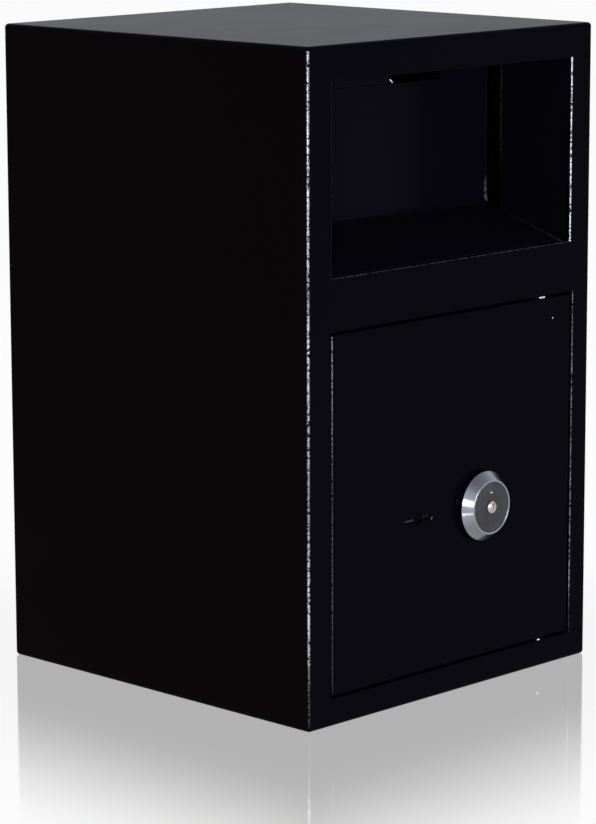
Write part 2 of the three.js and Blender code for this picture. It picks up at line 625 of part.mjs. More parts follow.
// Lock: local origin on the key axis, in the door's back face
function makeLock() {
  const half = lock.caseWide / 2;
  const capBack = barFront - lock.barGap - doorBack;
  const capFront = capBack - lock.capThick;
  const [low, high] = [-lock.caseLow, lock.caseHigh];
  const shell = block(-half, half, 0, capFront, low, high);
  const hollow = block(lock.wall - half, half - lock.wall, lock.wall, capFront + overrun, low + lock.wall,
    high - lock.wall);
  const boss = lock.bossHalf;
  const bosses = lockScrewPlaces().map(([x, z]) => (
    block(x - boss, x + boss, lock.wall, capFront, z - boss, z + boss)
  ));
  const tailHalf = lockBolt.tailHalf + runGap;
  const tailBack = lock.wall + 2 * seatGap + lockBolt.thick;
  const tail = block(-tailHalf, tailHalf, lock.wall, tailBack, 0, high + overrun);
  const holeRadius = lock.screwRadius + seatGap;
  const holes = lockScrewPlaces().map((place) => (
    roundBar('y', holeRadius, -overrun, capBack + overrun, ...place)
  ));
  const tray = joined(cut(shell, hollow), ...bosses);
  addPiece(lockGroup, 'lock_case', cut(tray, tail, keyhole(-overrun, lock.wall, 0, 0), ...holes), zinc);
  const headSeat = capBack - lock.screwHeadThick;
  const sinkRadius = lock.screwHead + seatGap;
  const sinks = lockScrewPlaces().map((place) => (
    roundBar('y', sinkRadius, headSeat - seatGap, capBack + overrun, ...place)
  ));
  const cap = block(-half, half, capFront + seatGap, capBack, low, high);
  addPiece(lockGroup, 'lock_cap', cut(cap, ...holes, ...sinks), zinc);
  lockScrewPlaces().forEach(([x, z], i) => {
    const point = seatGap - door.tapDeep;
    const screw = screwSolid(lock.screwRadius, lock.screwHead, lock.screwHeadThick, point, headSeat, x, z);
    addPiece(lockGroup, `lock_screw_${i + 1}`, screw, blackSteel);
  });
  makeLockBolt();
  makeLevers(capFront);
}

// Lock bolt: a plate round the key, with a tail that rises into the comb of the bolt bar
function makeLockBolt() {
  const front = lock.wall + seatGap;
  const back = front + lockBolt.thick;
  const [half, tailHalf, open, post] = [lockBolt.wide / 2, lockBolt.tailHalf, lockBolt.windowHalf,
    lockBolt.stumpHalf];
  const body = block(-half, half, front, back, -lockBolt.low, lockBolt.high);
  const tail = block(-tailHalf, tailHalf, front, back, 0, lock.caseHigh + lockBolt.proud);
  const window = block(-open, open, 0, back + overrun, -open, open);
  const stumpZ = (open + lockBolt.high) / 2;
  const stumpBack = back + lever.count * (lever.thick + lever.gap);
  const [stumpLeft, stumpRight] = [lockBolt.stumpX - post, lockBolt.stumpX + post];
  const stump = block(stumpLeft, stumpRight, front, stumpBack, stumpZ - post, stumpZ + post);
  addPiece(lockGroup, 'lock_bolt', joined(cut(joined(body, tail), window), stump), zinc);
}

// Levers: a stack of hooked plates on one pin, beside and above the key
function makeLevers(capFront) {
  const start = lock.wall + seatGap + lockBolt.thick + lever.gap;
  const limbRight = -lockBolt.windowHalf - lever.keyGap;
  const limbLeft = limbRight - lever.limbWide;
  const pivotAt = [(limbLeft + limbRight) / 2, lever.pivotZ];
  const armLow = lockBolt.windowHalf + lever.keyGap;
  const armHigh = armLow + lever.armTall;
  const outline = polygon([
    [limbLeft, lever.pivotZ], [limbRight, lever.pivotZ], [limbRight, armLow], [lever.armRight, armLow],
    [lever.armRight, armHigh], [limbLeft, armHigh],
  ]);
  for (let i = 0; i < lever.count; i += 1) {
    const front = start + i * (lever.thick + lever.gap);
    const back = front + lever.thick;
    const boss = roundBar('y', lever.bossRadius, front, back, ...pivotAt);
    const bore = roundBar('y', lever.pinRadius + runGap, front - overrun, back + overrun, ...pivotAt);
    addPiece(lockGroup, `lever_${i + 1}`, cut(joined(prism('y', outline, front, back), boss), bore), brass);
  }
  const pin = roundBar('y', lever.pinRadius, lock.wall + seatGap, capFront, ...pivotAt);
  addPiece(lockGroup, 'lever_pivot', pin, zinc);
}

// Cover: a pan over the lock and the bar, notched where the bolts leave it
function makeCover() {
  const { left, right, low, high } = coverSpan();
  const sheet = cover.sheet;
  const back = barBack + cover.backGap + sheet;
  const flangeBack = doorBack + sheet;
  const pan = block(left, right, doorBack, back, low, high);
  const [hollowLeft, hollowRight] = [left + sheet, right - sheet];
  const [hollowLow, hollowHigh] = [low + sheet, high - sheet];
  const hollow = block(hollowLeft, hollowRight, doorBack - overrun, back - sheet, hollowLow, hollowHigh);
  const flanges = [[low - cover.flange, low + sheet], [high - sheet, high + cover.flange]]
    .map(([z0, z1]) => block(left, right, doorBack, flangeBack, z0, z1));
  const room = bolt.radius + 2 * runGap;
  const boltCuts = boltPlaces().map((z) => (
    block(left - overrun, hollowLeft + overrun, doorBack - overrun, boltY + room, z - room, z + room)
  ));
  const holeRadius = cover.screwRadius + seatGap;
  const holes = coverScrewPlaces().map((place) => (
    roundBar('y', holeRadius, doorBack - overrun, doorBack + overrun, ...place)
  ));
  const solid = cut(joined(cut(pan, hollow), ...flanges), ...boltCuts, ...holes);
  addPiece(doorGroup, 'mechanism_cover', solid, innerEnamel);
  coverScrewPlaces().forEach(([x, z], i) => {
    const screw = screwSolid(cover.screwRadius, cover.screwHead, cover.headThick,
      doorBack - door.tapDeep + seatGap, flangeBack + seatGap, x, z);
    addPiece(doorGroup, `cover_screw_${i + 1}`, screw, blackSteel);
  });
}

// Deposit scoop: local origin on the hinge axis, in the middle of the safe
function makeScoop() {
  const middle = scoop.sheet / 2;
  const panelY = middle - scoop.knuckleRadius;
  const returnY = insideFront + scoop.railGap + middle - axisY;
  const slope = THREE.MathUtils.degToRad(scoop.slopeDegrees);
  const lipZ = sillZ + scoop.lipRise - middle / Math.cos(slope) - axisZ;
  const cornerZ = lipZ + (panelY - returnY) * Math.tan(slope);
  const corners = [[returnY, lipZ - scoop.returnTall], [returnY, lipZ], [panelY, cornerZ], [panelY, 0]];
  const line = bentLine(corners, [scoop.lipBend - middle, scoop.floorBend + middle]);
  const sheet = prism('x', sheetOutline(line, scoop.sheet), -scoopHalf, scoopHalf);
  const notchHalf = hinge.bracketHalf + hinge.endGap;
  const notchFront = -scoop.knuckleRadius - overrun;
  const notch = block(-notchHalf, notchHalf, notchFront, overrun, -scoop.notchTall, overrun);
  const knuckles = [-1, 1].map((side) => roundBar('x', scoop.knuckleRadius,
    ...inOrder(side * notchHalf, side * scoopHalf), 0, 0, sides.medium));
  const bore = roundBar('x', hinge.rodRadius + runGap, -width, width, 0, 0, sides.medium);
  addPiece(depositGroup, 'deposit_scoop', cut(joined(cut(sheet, notch), ...knuckles), bore), innerEnamel);
}

// Hinge of the scoop: a bracket under the top with two fixed knuckles, the rod and its two clips
function makeScoopHinge() {
  const top = ceilingZ - axisZ;
  const half = hinge.bracketHalf;
  const [webFront, webBack] = [springRadius - spring.wireRadius - seatGap - hinge.web,
    springRadius - spring.wireRadius - seatGap];
  const web = block(-half, half, webFront, webBack, 2 * scoop.knuckleRadius, top);
  const flange = block(-half, half, webFront, webFront + hinge.flange, top - hinge.web, top);
  const ears = [-1, 1].flatMap((side) => {
    const [x0, x1] = inOrder(side * half, side * (half - hinge.knuckleLong));
    return [roundBar('x', scoop.knuckleRadius, x0, x1, 0, 0, sides.medium),
      block(x0, x1, webFront, webBack, 0, 2 * scoop.knuckleRadius)];
  });
  const bore = roundBar('x', hinge.rodRadius + seatGap, -width, width, 0, 0, sides.medium);
  addPiece(depositGroup, 'scoop_hinge_bracket', cut(joined(web, flange, ...ears), bore), innerEnamel);

  const rodHalf = scoopHalf + hinge.rodPast;
  const rod = roundBar('x', hinge.rodRadius, -rodHalf, rodHalf, 0, 0, sides.medium);
  addPiece(depositGroup, 'scoop_hinge_rod', rod, zinc);
  for (const [place, side] of [['left', -1], ['right', 1]]) {
    const near = scoopHalf + runGap;
    const ends = inOrder(side * near, side * (near + hinge.clipThick));
    const clip = roundBar('x', hinge.clipRadius, ...ends, 0, 0, sides.medium);
    addPiece(depositGroup, `rod_clip_${place}`, cut(clip, bore), blackSteel);
  }
}

// Return spring: a tail up behind the bracket, a coil round the rod and a leg down behind the scoop
class SpringLine extends THREE.Curve {
  constructor(lean) {
    super();
    this.sweep = 2 * Math.PI * spring.turns + lean;
    this.coilLong = springRadius * this.sweep;
    this.whole = spring.tailLong + this.coilLong + spring.legLong;
    this.coilWide = spring.pitch * spring.turns;
  }

  getPoint(t, target = new THREE.Vector3()) {
    const past = t * this.whole - spring.tailLong;
    if (past < 0) return target.set(-this.coilWide / 2, springRadius, -past);
    const turned = Math.min(past / this.coilLong, 1);
    const angle = -this.sweep * turned;
    const down = Math.max(past - this.coilLong, 0);
    const [sine, cosine] = [Math.sin(angle), Math.cos(angle)];
    const [y, z] = [springRadius * cosine + down * sine, springRadius * sine - down * cosine];
    return target.set(this.coilWide * (turned - 0.5), y, z);
  }
}

function makeReturnSpring() {
  const panelBack = scoop.sheet - scoop.knuckleRadius;
  const legEnd = -(panelBack + spring.wireRadius + seatGap);
  const lean = Math.asin(legEnd / Math.hypot(spring.legLong, springRadius))
    + Math.atan(springRadius / spring.legLong);
  const line = new SpringLine(lean);
  const corners = Array.from({ length: spring.sides }, (_, i) => {
    const angle = (2 * Math.PI * i) / spring.sides;
    return [spring.wireRadius * Math.cos(angle), spring.wireRadius * Math.sin(angle)];
  });
  const steps = Math.round((spring.stepsPerTurn * line.whole) / (2 * Math.PI * springRadius));
  const form = { steps, extrudePath: line, bevelEnabled: false };
  const coil = new THREE.ExtrudeGeometry(polygon(corners), form);
  addPiece(depositGroup, 'scoop_return_spring', toSolid(coil), springSteel);
  const turnGap = spring.pitch - 2 * spring.wireRadius;
  console.log(`least gap between turns of the return spring: ${turnGap.toFixed(2)} mm`);
}

// Baffle: a sheet from the back of the box down to a toothed edge below the scoop
function makeBaffle() {
  const middle = baffle.sheet / 2;
  const backLineY = insideBack - seatGap - middle;
  const frontLineY = frontY + baffle.frontDepth;
  const frontZ = sillZ - baffle.frontBelow;
  const backZ = sillZ - baffle.backBelow;
  const tipZ = frontZ + baffle.lipTall;
  const line = bentLine([
    [backLineY, backZ + baffle.flangeTall], [backLineY, backZ], [frontLineY, frontZ],
    [frontLineY, tipZ],
  ], [baffle.bend, baffle.bend / 2]);
  const half = insideX - seatGap;
  const sheet = prism('x', sheetOutline(line, baffle.sheet), -half, half);
  const toothWide = (2 * half) / baffle.teeth;
  const gaps = Array.from({ length: baffle.teeth }, (_, i) => {
    const x = -half + i * toothWide;
    const gap = polygon([[x, tipZ + baffle.toothDeep], [x + toothWide / 2, tipZ - baffle.toothDeep],
      [x + toothWide, tipZ + baffle.toothDeep]]);
    return prism('y', gap, frontLineY - middle - seatGap, frontLineY + middle + seatGap);
  });
  addPiece(safe, 'fishing_baffle', cut(sheet, ...gaps), innerEnamel);
}

makeBox();
makeAnchorPlugs();
makeCheeks();
makeStopAngle();
makePivots();
makeDoorPlate();
makeKnob();
makeBoltBar();
makeBolts();
makeLock();
makeCover();
makeScoop();
makeScoopHinge();
makeReturnSpring();
makeBaffle();

export default safe;
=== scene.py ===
import json
import math

import bmesh
import bpy
from mathutils import Matrix, Vector


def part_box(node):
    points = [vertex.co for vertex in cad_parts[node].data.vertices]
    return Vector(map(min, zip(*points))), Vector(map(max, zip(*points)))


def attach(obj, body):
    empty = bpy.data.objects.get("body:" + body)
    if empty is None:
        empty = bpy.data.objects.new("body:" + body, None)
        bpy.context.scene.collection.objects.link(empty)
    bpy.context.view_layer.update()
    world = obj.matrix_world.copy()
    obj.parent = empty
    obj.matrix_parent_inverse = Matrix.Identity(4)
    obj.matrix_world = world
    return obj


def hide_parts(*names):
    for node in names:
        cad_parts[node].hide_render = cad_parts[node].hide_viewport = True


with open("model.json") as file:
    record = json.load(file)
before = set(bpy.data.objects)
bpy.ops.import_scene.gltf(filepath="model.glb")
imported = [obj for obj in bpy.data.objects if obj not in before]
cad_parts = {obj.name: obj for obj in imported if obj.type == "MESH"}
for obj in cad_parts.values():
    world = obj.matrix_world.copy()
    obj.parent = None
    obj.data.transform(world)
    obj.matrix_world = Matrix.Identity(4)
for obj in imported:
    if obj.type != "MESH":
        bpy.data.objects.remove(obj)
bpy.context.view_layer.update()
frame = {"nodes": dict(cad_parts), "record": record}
nodes = frame["nodes"]
mm = 0.001
print("frame loaded:", len(nodes), "nodes")


def middleOf(node):
    low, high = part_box(node)
    return (low + high) / 2


def spanOf(node, axis):
    low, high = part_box(node)
    return high[axis] - low[axis]


# Colours are written as sRGB hex values and used as linear ones
def linear(hexText):
    parts = [int(hexText[i:i + 2], 16) / 255 for i in (1, 3, 5)]
    return (*[p / 12.92 if p <= 0.04045 else ((p + 0.055) / 1.055) ** 2.4 for p in parts], 1.0)


# One node with its settings, by the names of its properties or inputs. A socket, or a node for its first
# output, is linked.
def addNode(tree, kind, settings=None):
    node = tree.nodes.new(kind)
    for key, value in (settings or {}).items():
        if isinstance(value, bpy.types.Node):
            value = value.outputs[0]
        if isinstance(value, bpy.types.NodeSocket):
            tree.links.new(value, node.inputs[key])
        elif isinstance(key, str) and hasattr(node, key):
            setattr(node, key, value)
        else:
            node.inputs[key].default_value = value
    return node


def newMaterial(name):
    material = bpy.data.materials.new(name)
    material.use_nodes = True
    tree = material.node_tree
    tree.nodes.clear()
    place = addNode(tree, "ShaderNodeTexCoord").outputs["Object"]
    return material, tree, place


def finishMaterial(tree, shader):
    addNode(tree, "ShaderNodeOutputMaterial", {"Surface": shader})


enamelLook = {
    "peelSize": 2.6 * mm,          # one dimple of the orange peel, drawn a little coarse so that it shows
    "peelDepth": 0.020 * mm,
    "nibSize": 1.7 * mm,           # one bead of paint along an edge, as coarse as the picture's dots
    "nibDepth": 0.10 * mm,
    "patchSize": 60 * mm,          # slow change of gloss over the sheet
    "glossSpread": (0.88, 1.15),   # roughness of its glossiest and dullest patches
    "bareNoise": (0.40, 0.54),     # nibs below the first value are painted, above the second bare
    "wearGlintNoise": (0.35, 0.6),      # patches where an edge has few and many bare spots
    "leastWearGlint": 0.45,
    "steelTone": "#d4d7dc",        # the bare steel of the edges
}


def makeEnamel(name, body, sheen, roughness, ior):
    # Stoving enamel sprayed on sheet steel: near-black gloss with a slight orange peel. Bare spots of steel
    # break through it where the edge attribute is set. This is partly edge wear and partly a painted
    # highlight: the attribute is laid only on the edges, and the parts of their rounding, that face the
    # light, to draw a broken bright line. Enamel has an IOR of 1.5, but the picture shows it dead black
    # except at a grazing angle, so it is lowered to match.
    material, tree, place = newMaterial(name)
    peel = addNode(tree, "ShaderNodeTexNoise", {
        "Scale": 1 / enamelLook["peelSize"], "Detail": 3.0, "Roughness": 0.5, "Vector": place})
    patch = addNode(tree, "ShaderNodeTexNoise", {
        "Scale": 1 / enamelLook["patchSize"], "Detail": 2.0, "Vector": place})
    least, most = enamelLook["glossSpread"]
    tone = addNode(tree, "ShaderNodeMapRange", {
        "From Min": 0.3, "From Max": 0.7, "To Min": roughness * least, "To Max": roughness * most,
        "Value": patch.outputs["Fac"]})
    colour = addNode(tree, "ShaderNodeMix", {
        "data_type": "RGBA", 6: linear(body), 7: linear(sheen), 0: patch.outputs["Fac"]})
    bump = addNode(tree, "ShaderNodeBump", {
        "Strength": 0.6, "Distance": enamelLook["peelDepth"], "Height": peel.outputs["Fac"]})
    edge = addNode(tree, "ShaderNodeAttribute", {"attribute_name": "bareEdgeGlint"})
    nibs = addNode(tree, "ShaderNodeTexNoise", {
        "Scale": 1 / enamelLook["nibSize"], "Detail": 2.0, "Roughness": 0.7, "Vector": place})
    nibHeight = addNode(tree, "ShaderNodeMath", {
        "operation": "MULTIPLY", 0: nibs.outputs["Fac"], 1: edge.outputs["Fac"]})
    edgeBump = addNode(tree, "ShaderNodeBump", {
        "Strength": 1.0, "Distance": enamelLook["nibDepth"], "Height": nibHeight,
        "Normal": bump.outputs["Normal"]})
    least, most = enamelLook["bareNoise"]
    spots = addNode(tree, "ShaderNodeMapRange", {
        "From Min": least, "From Max": most, "Value": nibs.outputs["Fac"]})
    least, most = enamelLook["wearGlintNoise"]
    worn = addNode(tree, "ShaderNodeMapRange", {
        "From Min": least, "From Max": most, "To Min": enamelLook["leastWearGlint"],
        "Value": patch.outputs["Fac"]})
    reach = addNode(tree, "ShaderNodeMath", {"operation": "MULTIPLY", 0: worn, 1: edge.outputs["Fac"]})
    bare = addNode(tree, "ShaderNodeMath", {"operation": "MULTIPLY", 0: spots, 1: reach})
    paint = addNode(tree, "ShaderNodeBsdfPrincipled", {
        "IOR": ior, "Base Color": colour.outputs[2], "Roughness": tone,
        "Normal": edgeBump.outputs["Normal"]})
    steel = addNode(tree, "ShaderNodeBsdfPrincipled", {
        "Base Color": linear(enamelLook["steelTone"]), "Metallic": 0.8, "Roughness": 0.34,
        "Normal": edgeBump.outputs["Normal"]})
    finishMaterial(tree, addNode(tree, "ShaderNodeMixShader", {0: bare, 1: paint, 2: steel}))
    return material


def makeMetal(name, tone, darkTone, roughness, grain, grainDepth, stretch=(1, 1, 1), turnedAbout=None):
    # A plated, turned or rolled metal: its grain runs along the axis with the smallest stretch, or in rings
    # about an axis along Y, as the lathe leaves it. The real lines lie about 0.1 mm apart, finer than a
    # pixel, so they are drawn as coarse as they need to show.
    material, tree, place = newMaterial(name)
    turn = addNode(tree, "ShaderNodeMapping", {"Scale": stretch, "Vector": place})
    if turnedAbout:
        flat = addNode(tree, "ShaderNodeMapping", {
            "Scale": (1, 0, 1), "Location": (-turnedAbout[0], 0, -turnedAbout[1]), "Vector": place})
        ring = addNode(tree, "ShaderNodeVectorMath", {"operation": "LENGTH", 0: flat})
        turn = addNode(tree, "ShaderNodeCombineXYZ", {"X": ring.outputs["Value"]})
    lines = addNode(tree, "ShaderNodeTexNoise", {
        "Scale": 1 / grain, "Detail": 4.0, "Roughness": 0.6, "Vector": turn})
    cloud = addNode(tree, "ShaderNodeTexNoise", {"Scale": 1 / (9 * mm), "Detail": 2.0, "Vector": place})
    colour = addNode(tree, "ShaderNodeMix", {
        "data_type": "RGBA", 6: linear(tone), 7: linear(darkTone), 0: cloud.outputs["Fac"]})
    polish = addNode(tree, "ShaderNodeMapRange", {
        "From Min": 0.25, "From Max": 0.75, "To Min": roughness * 0.8, "To Max": roughness * 1.25,
        "Value": lines.outputs["Fac"]})
    bump = addNode(tree, "ShaderNodeBump", {
        "Strength": 0.5, "Distance": grainDepth, "Height": lines.outputs["Fac"]})
    shader = addNode(tree, "ShaderNodeBsdfPrincipled", {
        "Metallic": 1.0, "Base Color": colour.outputs[2], "Roughness": polish,
        "Normal": bump.outputs["Normal"]})
    finishMaterial(tree, shader)
    return material


def makePlastic(name, tone, lightTone):
    # Moulded low-density plastic: matt and slightly waxy, with a spark-eroded texture that is drawn coarser
    # than the real one so that it shows
    material, tree, place = newMaterial(name)
    grain = addNode(tree, "ShaderNodeTexNoise", {"Scale": 1 / (0.8 * mm), "Detail": 3.0, "Vector": place})
    colour = addNode(tree, "ShaderNodeMix", {
        "data_type": "RGBA", 6: linear(tone), 7: linear(lightTone), 0: grain.outputs["Fac"]})
    bump = addNode(tree, "ShaderNodeBump", {
        "Strength": 0.4, "Distance": 0.05 * mm, "Height": grain.outputs["Fac"]})
    shader = addNode(tree, "ShaderNodeBsdfPrincipled", {
        "Roughness": 0.62, "Specular IOR Level": 0.4, "Base Color": colour.outputs[2],
        "Normal": bump.outputs["Normal"]})
    finishMaterial(tree, shader)
    return material


# Gloss enamel outside and satin inside. The hinge bracket gets an extra-dark, near-matt copy of the enamel:
# painted shade that keeps the notch in front of it dark.
glossEnamel = makeEnamel("glossBlackEnamel", "#07060c", "#08070e", 0.16, 1.055)
# A warmer copy of the gloss enamel for the side sheets: painted warm light, as their real paint is the same
# as the front's.
warmLitSideEnamel = makeEnamel("warmLitSideBlack", "#0a0507", "#0b0608", 0.16, 1.055)
satinEnamel = makeEnamel("satinBlackEnamel", "#0a0910", "#0d0b15", 0.22, 1.068)
notchShadeEnamel = makeEnamel("notchShadeBlack", "#020203", "#030304", 0.55, 1.02)
knobAxis = (middleOf("knob").x, middleOf("knob").z)
# Chrome plate is bluish and mirrors sharply, but where it was turned the fine rings draw its lights out
chromePlate = makeMetal("polishedChromePlate", "#babec4", "#a4a9b0", 0.10, 1.5 * mm, 0.004 * mm)
turnedChrome = makeMetal("turnedChromePlate", "#a3a8b0", "#82878f", 0.13, 0.8 * mm, 0.06 * mm,
                         turnedAbout=knobAxis)
# Black nickel on the knob's face stays a soft dark grey, and the warm screw in it scatters bright points
darkFace = makeMetal("satinBlackNickel", "#525256", "#37373b", 0.30, 0.7 * mm, 0.06 * mm,
                     turnedAbout=knobAxis)
brightScrew = makeMetal("brightScrewSteel", "#d8cdc8", "#a89a94", 0.22, 0.7 * mm, 0.10 * mm)
# Zinc plate is pale with a soft sheen: brightest on the small tabs, streaked on bar stock, dull where cast
brightZinc = makeMetal("brightZincPlate", "#e4e8ea", "#cdd2d4", 0.30, 0.5 * mm, 0.02 * mm)
zincPlate = makeMetal("zincPlatedSteel", "#b9bbb8", "#9fa2a4", 0.34, 0.7 * mm, 0.012 * mm, (1, 1, 0.15))
castZinc = makeMetal("zincDieCasting", "#9b9c9c", "#85868a", 0.42, 1.1 * mm, 0.03 * mm)
# Blackened steel and oiled wire keep a narrow light, and drawn brass is warm with streaks along its length
blackSteel = makeMetal("blackenedSteel", "#3a3a3d", "#28282b", 0.38, 0.6 * mm, 0.015 * mm)
drawnBrass = makeMetal("drawnBrass", "#c9a562", "#b08d4c", 0.28, 0.8 * mm, 0.01 * mm, (0.2, 1, 1))
springWire = makeMetal("oiledSpringWire", "#8a8c90", "#6d6f74", 0.26, 0.5 * mm, 0.008 * mm)
plugPlastic = makePlastic("mouldedPlugPlastic", "#141414", "#1d1d1d")
print("materials made")

# The finish of every node, by the record's material slots
slotFinish = {
    "outer_enamel": glossEnamel, "inner_enamel": satinEnamel, "chrome": chromePlate,
    "zinc_plate": zincPlate, "black_steel": blackSteel, "brass": drawnBrass, "spring_steel": springWire,
    "plug_plastic": plugPlastic,
}
slotOf = {entry["node"]: entry["material_slot"] for entry in frame["record"]["subparts"]}
bodyOf = {name: body for body, names in frame["record"]["behaviour"]["bodies"].items() for name in names}
finishOf = {name: slotFinish[slot] for name, slot in slotOf.items()}
finishOf.update({name: castZinc for name in ("lock_case", "lock_cap", "drive_crank")})
# The hinge bracket's extra-dark enamel is painted shade.
finishOf["scoop_hinge_bracket"] = notchShadeEnamel
# The side sheets take the warmer copy of the gloss enamel: painted warm light on them.
finishOf["left_side_panel"] = finishOf["right_side_panel"] = warmLitSideEnamel
for name, piece in nodes.items():
    piece.data.materials.clear()
    piece.data.materials.append(finishOf[name])


def toObject(name, mesh, *materials):
    data = bpy.data.meshes.new(name)
    mesh.to_mesh(data)
    mesh.free()
    for material in materials:
        data.materials.append(material)
    piece = bpy.data.objects.new(name, data)
    bpy.context.scene.collection.objects.link(piece)
    return piece


def bakeModifiers(piece):
    depsgraph = bpy.context.evaluated_depsgraph_get()
    plain = bpy.data.meshes.new_from_object(piece.evaluated_get(depsgraph), preserve_all_data_layers=True,
                                            depsgraph=depsgraph)
    plain.name = piece.name
    piece.modifiers.clear()
    piece.data = plain


# Modifiers become a plain mesh, smooth up to an angle, and large faces keep the normals of flat sheet
def settle(piece, smoothAngle=32):
    bakeModifiers(piece)
    piece.data.shade_smooth()
    piece.data.set_sharp_from_angle(angle=math.radians(smoothAngle))
    modifier = piece.modifiers.new("flatFaces", "WEIGHTED_NORMAL")
    modifier.weight = 80
    modifier.keep_sharp = True
    bakeModifiers(piece)
    return piece


# Bare steel laid on some faces of a finished piece to paint highlights there. The function passed in gives
# its share at each corner, from the corner and its face's corners.
def showGlintSteel(piece, bareAt):
    layers = piece.data.attributes
    layer = layers.get("bareEdgeGlint") or layers.new("bareEdgeGlint", "FLOAT", "CORNER")
    values = [item.value for item in layer.data]
    for polygon in piece.data.polygons:
        corners = [piece.data.vertices[i].co for i in polygon.vertices]
        for loop, corner in zip(polygon.loop_indices, corners):
            values[loop] += bareAt(corner, corners)
    layer.data.foreach_set("value", values)


def bisect(mesh, at, normal, **options):
    return bmesh.ops.bisect_plane(mesh, geom=mesh.verts[:] + mesh.edges[:] + mesh.faces[:], plane_co=at,
                                  plane_no=normal, **options)


# New edges across a piece where planes cut it, so that a corner attribute can change there
def cutAcross(piece, *planes):
    mesh = bmesh.new()
    mesh.from_mesh(piece.data)
    for at, normal in planes:
        bisect(mesh, at, normal, dist=1e-7)
    mesh.to_mesh(piece.data)
    mesh.free()
    return settle(piece, 40)


def standFor(piece, *names):
    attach(piece, bodyOf[names[0]])
    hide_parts(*names)
    return piece


# A piece that the CAD doesn't have moves with the body of one node
def rideWith(piece, node):
    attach(piece, bodyOf[node])


def breakEdges(piece, width, angle=60):
    bevel = piece.modifiers.new("brokenEdge", "BEVEL")
    bevel.width = width
    bevel.segments = 2
    bevel.limit_method = "ANGLE"
    bevel.angle_limit = math.radians(angle)


def boxMesh(low, high):
    mesh = bmesh.new()
    bmesh.ops.create_cube(mesh, size=1)
    for vert in mesh.verts:
        vert.co = Vector([(low[i] + high[i]) / 2 + vert.co[i] * (high[i] - low[i]) for i in range(3)])
    return mesh


def roundEdges(mesh, edges, radius, segments):
    bmesh.ops.bevel(mesh, geom=list(edges), offset=radius, offset_type="OFFSET", segments=segments,
                    profile=0.5, affect="EDGES", clamp_overlap=True)


def carve(piece, cutters):
    for cutter in cutters:
        modifier = piece.modifiers.new("cut", "BOOLEAN")
        modifier.operation = "DIFFERENCE"
        modifier.solver = "EXACT"
        modifier.object = cutter
    bakeModifiers(piece)
    for cutter in cutters:
        bpy.data.objects.remove(cutter)
    return piece


# Profiles of turned forms are radius and place along the axis
def rodCorners(radius, start, end):
    return [(0, start), (radius, start), (radius, end), (0, end)]


def domeCorners(radius, top, high, steps):
    return [(radius * math.sin(a), top + high * (1 - math.cos(a)))
            for a in [math.pi / 2 * k / steps for k in range(steps + 1)]]


# A turned piece, from the axis out and back to it
def turnedMesh(profile, axis, centre, count=64):
    mesh = bmesh.new()
    along = {"x": (0, 1, 2), "y": (1, 2, 0), "z": (2, 0, 1)}[axis]
    rings = []
    for radius, place in profile:
        ring = []
        for k in range(count if radius > 0 else 1):
            angle = 2 * math.pi * k / count
            at = [0, 0, 0]
            at[along[0]] = place
            at[along[1]] = radius * math.cos(angle)
            at[along[2]] = radius * math.sin(angle)
            ring.append(mesh.verts.new(Vector(at) + Vector(centre)))
        rings.append(ring)
    for near, far in zip(rings, rings[1:]):
        for k in range(count):
            corners = [near[k % len(near)], near[(k + 1) % len(near)], far[(k + 1) % len(far)],
                       far[k % len(far)]]
            corners = list(dict.fromkeys(corners))
            if len(corners) > 2:
                mesh.faces.new(corners)
    bmesh.ops.remove_doubles(mesh, verts=mesh.verts, dist=1e-7)
    bmesh.ops.recalc_face_normals(mesh, faces=mesh.faces)
    return mesh


# A profile whose corners get small round arcs
def softened(profile, radius, steps=3):
    out = [profile[0]]
    for before, at, after in zip(profile, profile[1:], profile[2:]):
        a = (Vector(before) - Vector(at))
        b = (Vector(after) - Vector(at))
        reach = min(radius, a.length * 0.45, b.length * 0.45)
        if a.angle(b) > math.radians(170):
            out.append(at)
            continue
        start, end = Vector(at) + a.normalized() * reach, Vector(at) + b.normalized() * reach
        for k in range(steps + 1):
            t = k / steps
            point = start.lerp(Vector(at), t).lerp(Vector(at).lerp(end, t), t)
            out.append((point.x, point.y))
    return out + [profile[-1]]


# Geometry Nodes: an empty tree with its named inputs
def newTree(name, inputs):
    tree = bpy.data.node_groups.new(name, "GeometryNodeTree")
    tree.interface.new_socket("Geometry", in_out="OUTPUT", socket_type="NodeSocketGeometry")
    tree.interface.new_socket("Geometry", in_out="INPUT", socket_type="NodeSocketGeometry")
    for label, kind in inputs.items():
        tree.interface.new_socket(label, in_out="INPUT", socket_type="NodeSocket" + kind)
    return tree, addNode(tree, "NodeGroupInput").outputs


def finishTree(tree, made, finish):
    plain = addNode(tree, "GeometryNodeRealizeInstances", {"Geometry": made})
    coated = addNode(tree, "GeometryNodeSetMaterial", {"Geometry": plain, "Material": finish})
    addNode(tree, "NodeGroupOutput", {0: coated})


def useTree(piece, tree, sizes):
    modifier = piece.modifiers.new("grown", "NODES")
    modifier.node_group = tree
    for item in tree.interface.items_tree:
        if item.in_out == "INPUT" and item.name in sizes:
            modifier[item.identifier] = sizes[item.name]


# A piece grown by a tree from points or lines, then settled to a plain mesh
def grow(name, tree, points, sizes, lines=(), bends=(), smoothAngle=32, edge=0.0):
    data = bpy.data.meshes.new(name)
    data.from_pydata([tuple(point) for point in points], list(lines), [])
    if bends:
        data.attributes.new("bendRadius", "FLOAT", "POINT").data.foreach_set("value", bends)
    piece = bpy.data.objects.new(name, data)
    bpy.context.scene.collection.objects.link(piece)
    useTree(piece, tree, sizes)
    bakeModifiers(piece)
    if edge:
        breakEdges(piece, edge)
    return settle(piece, smoothAngle)
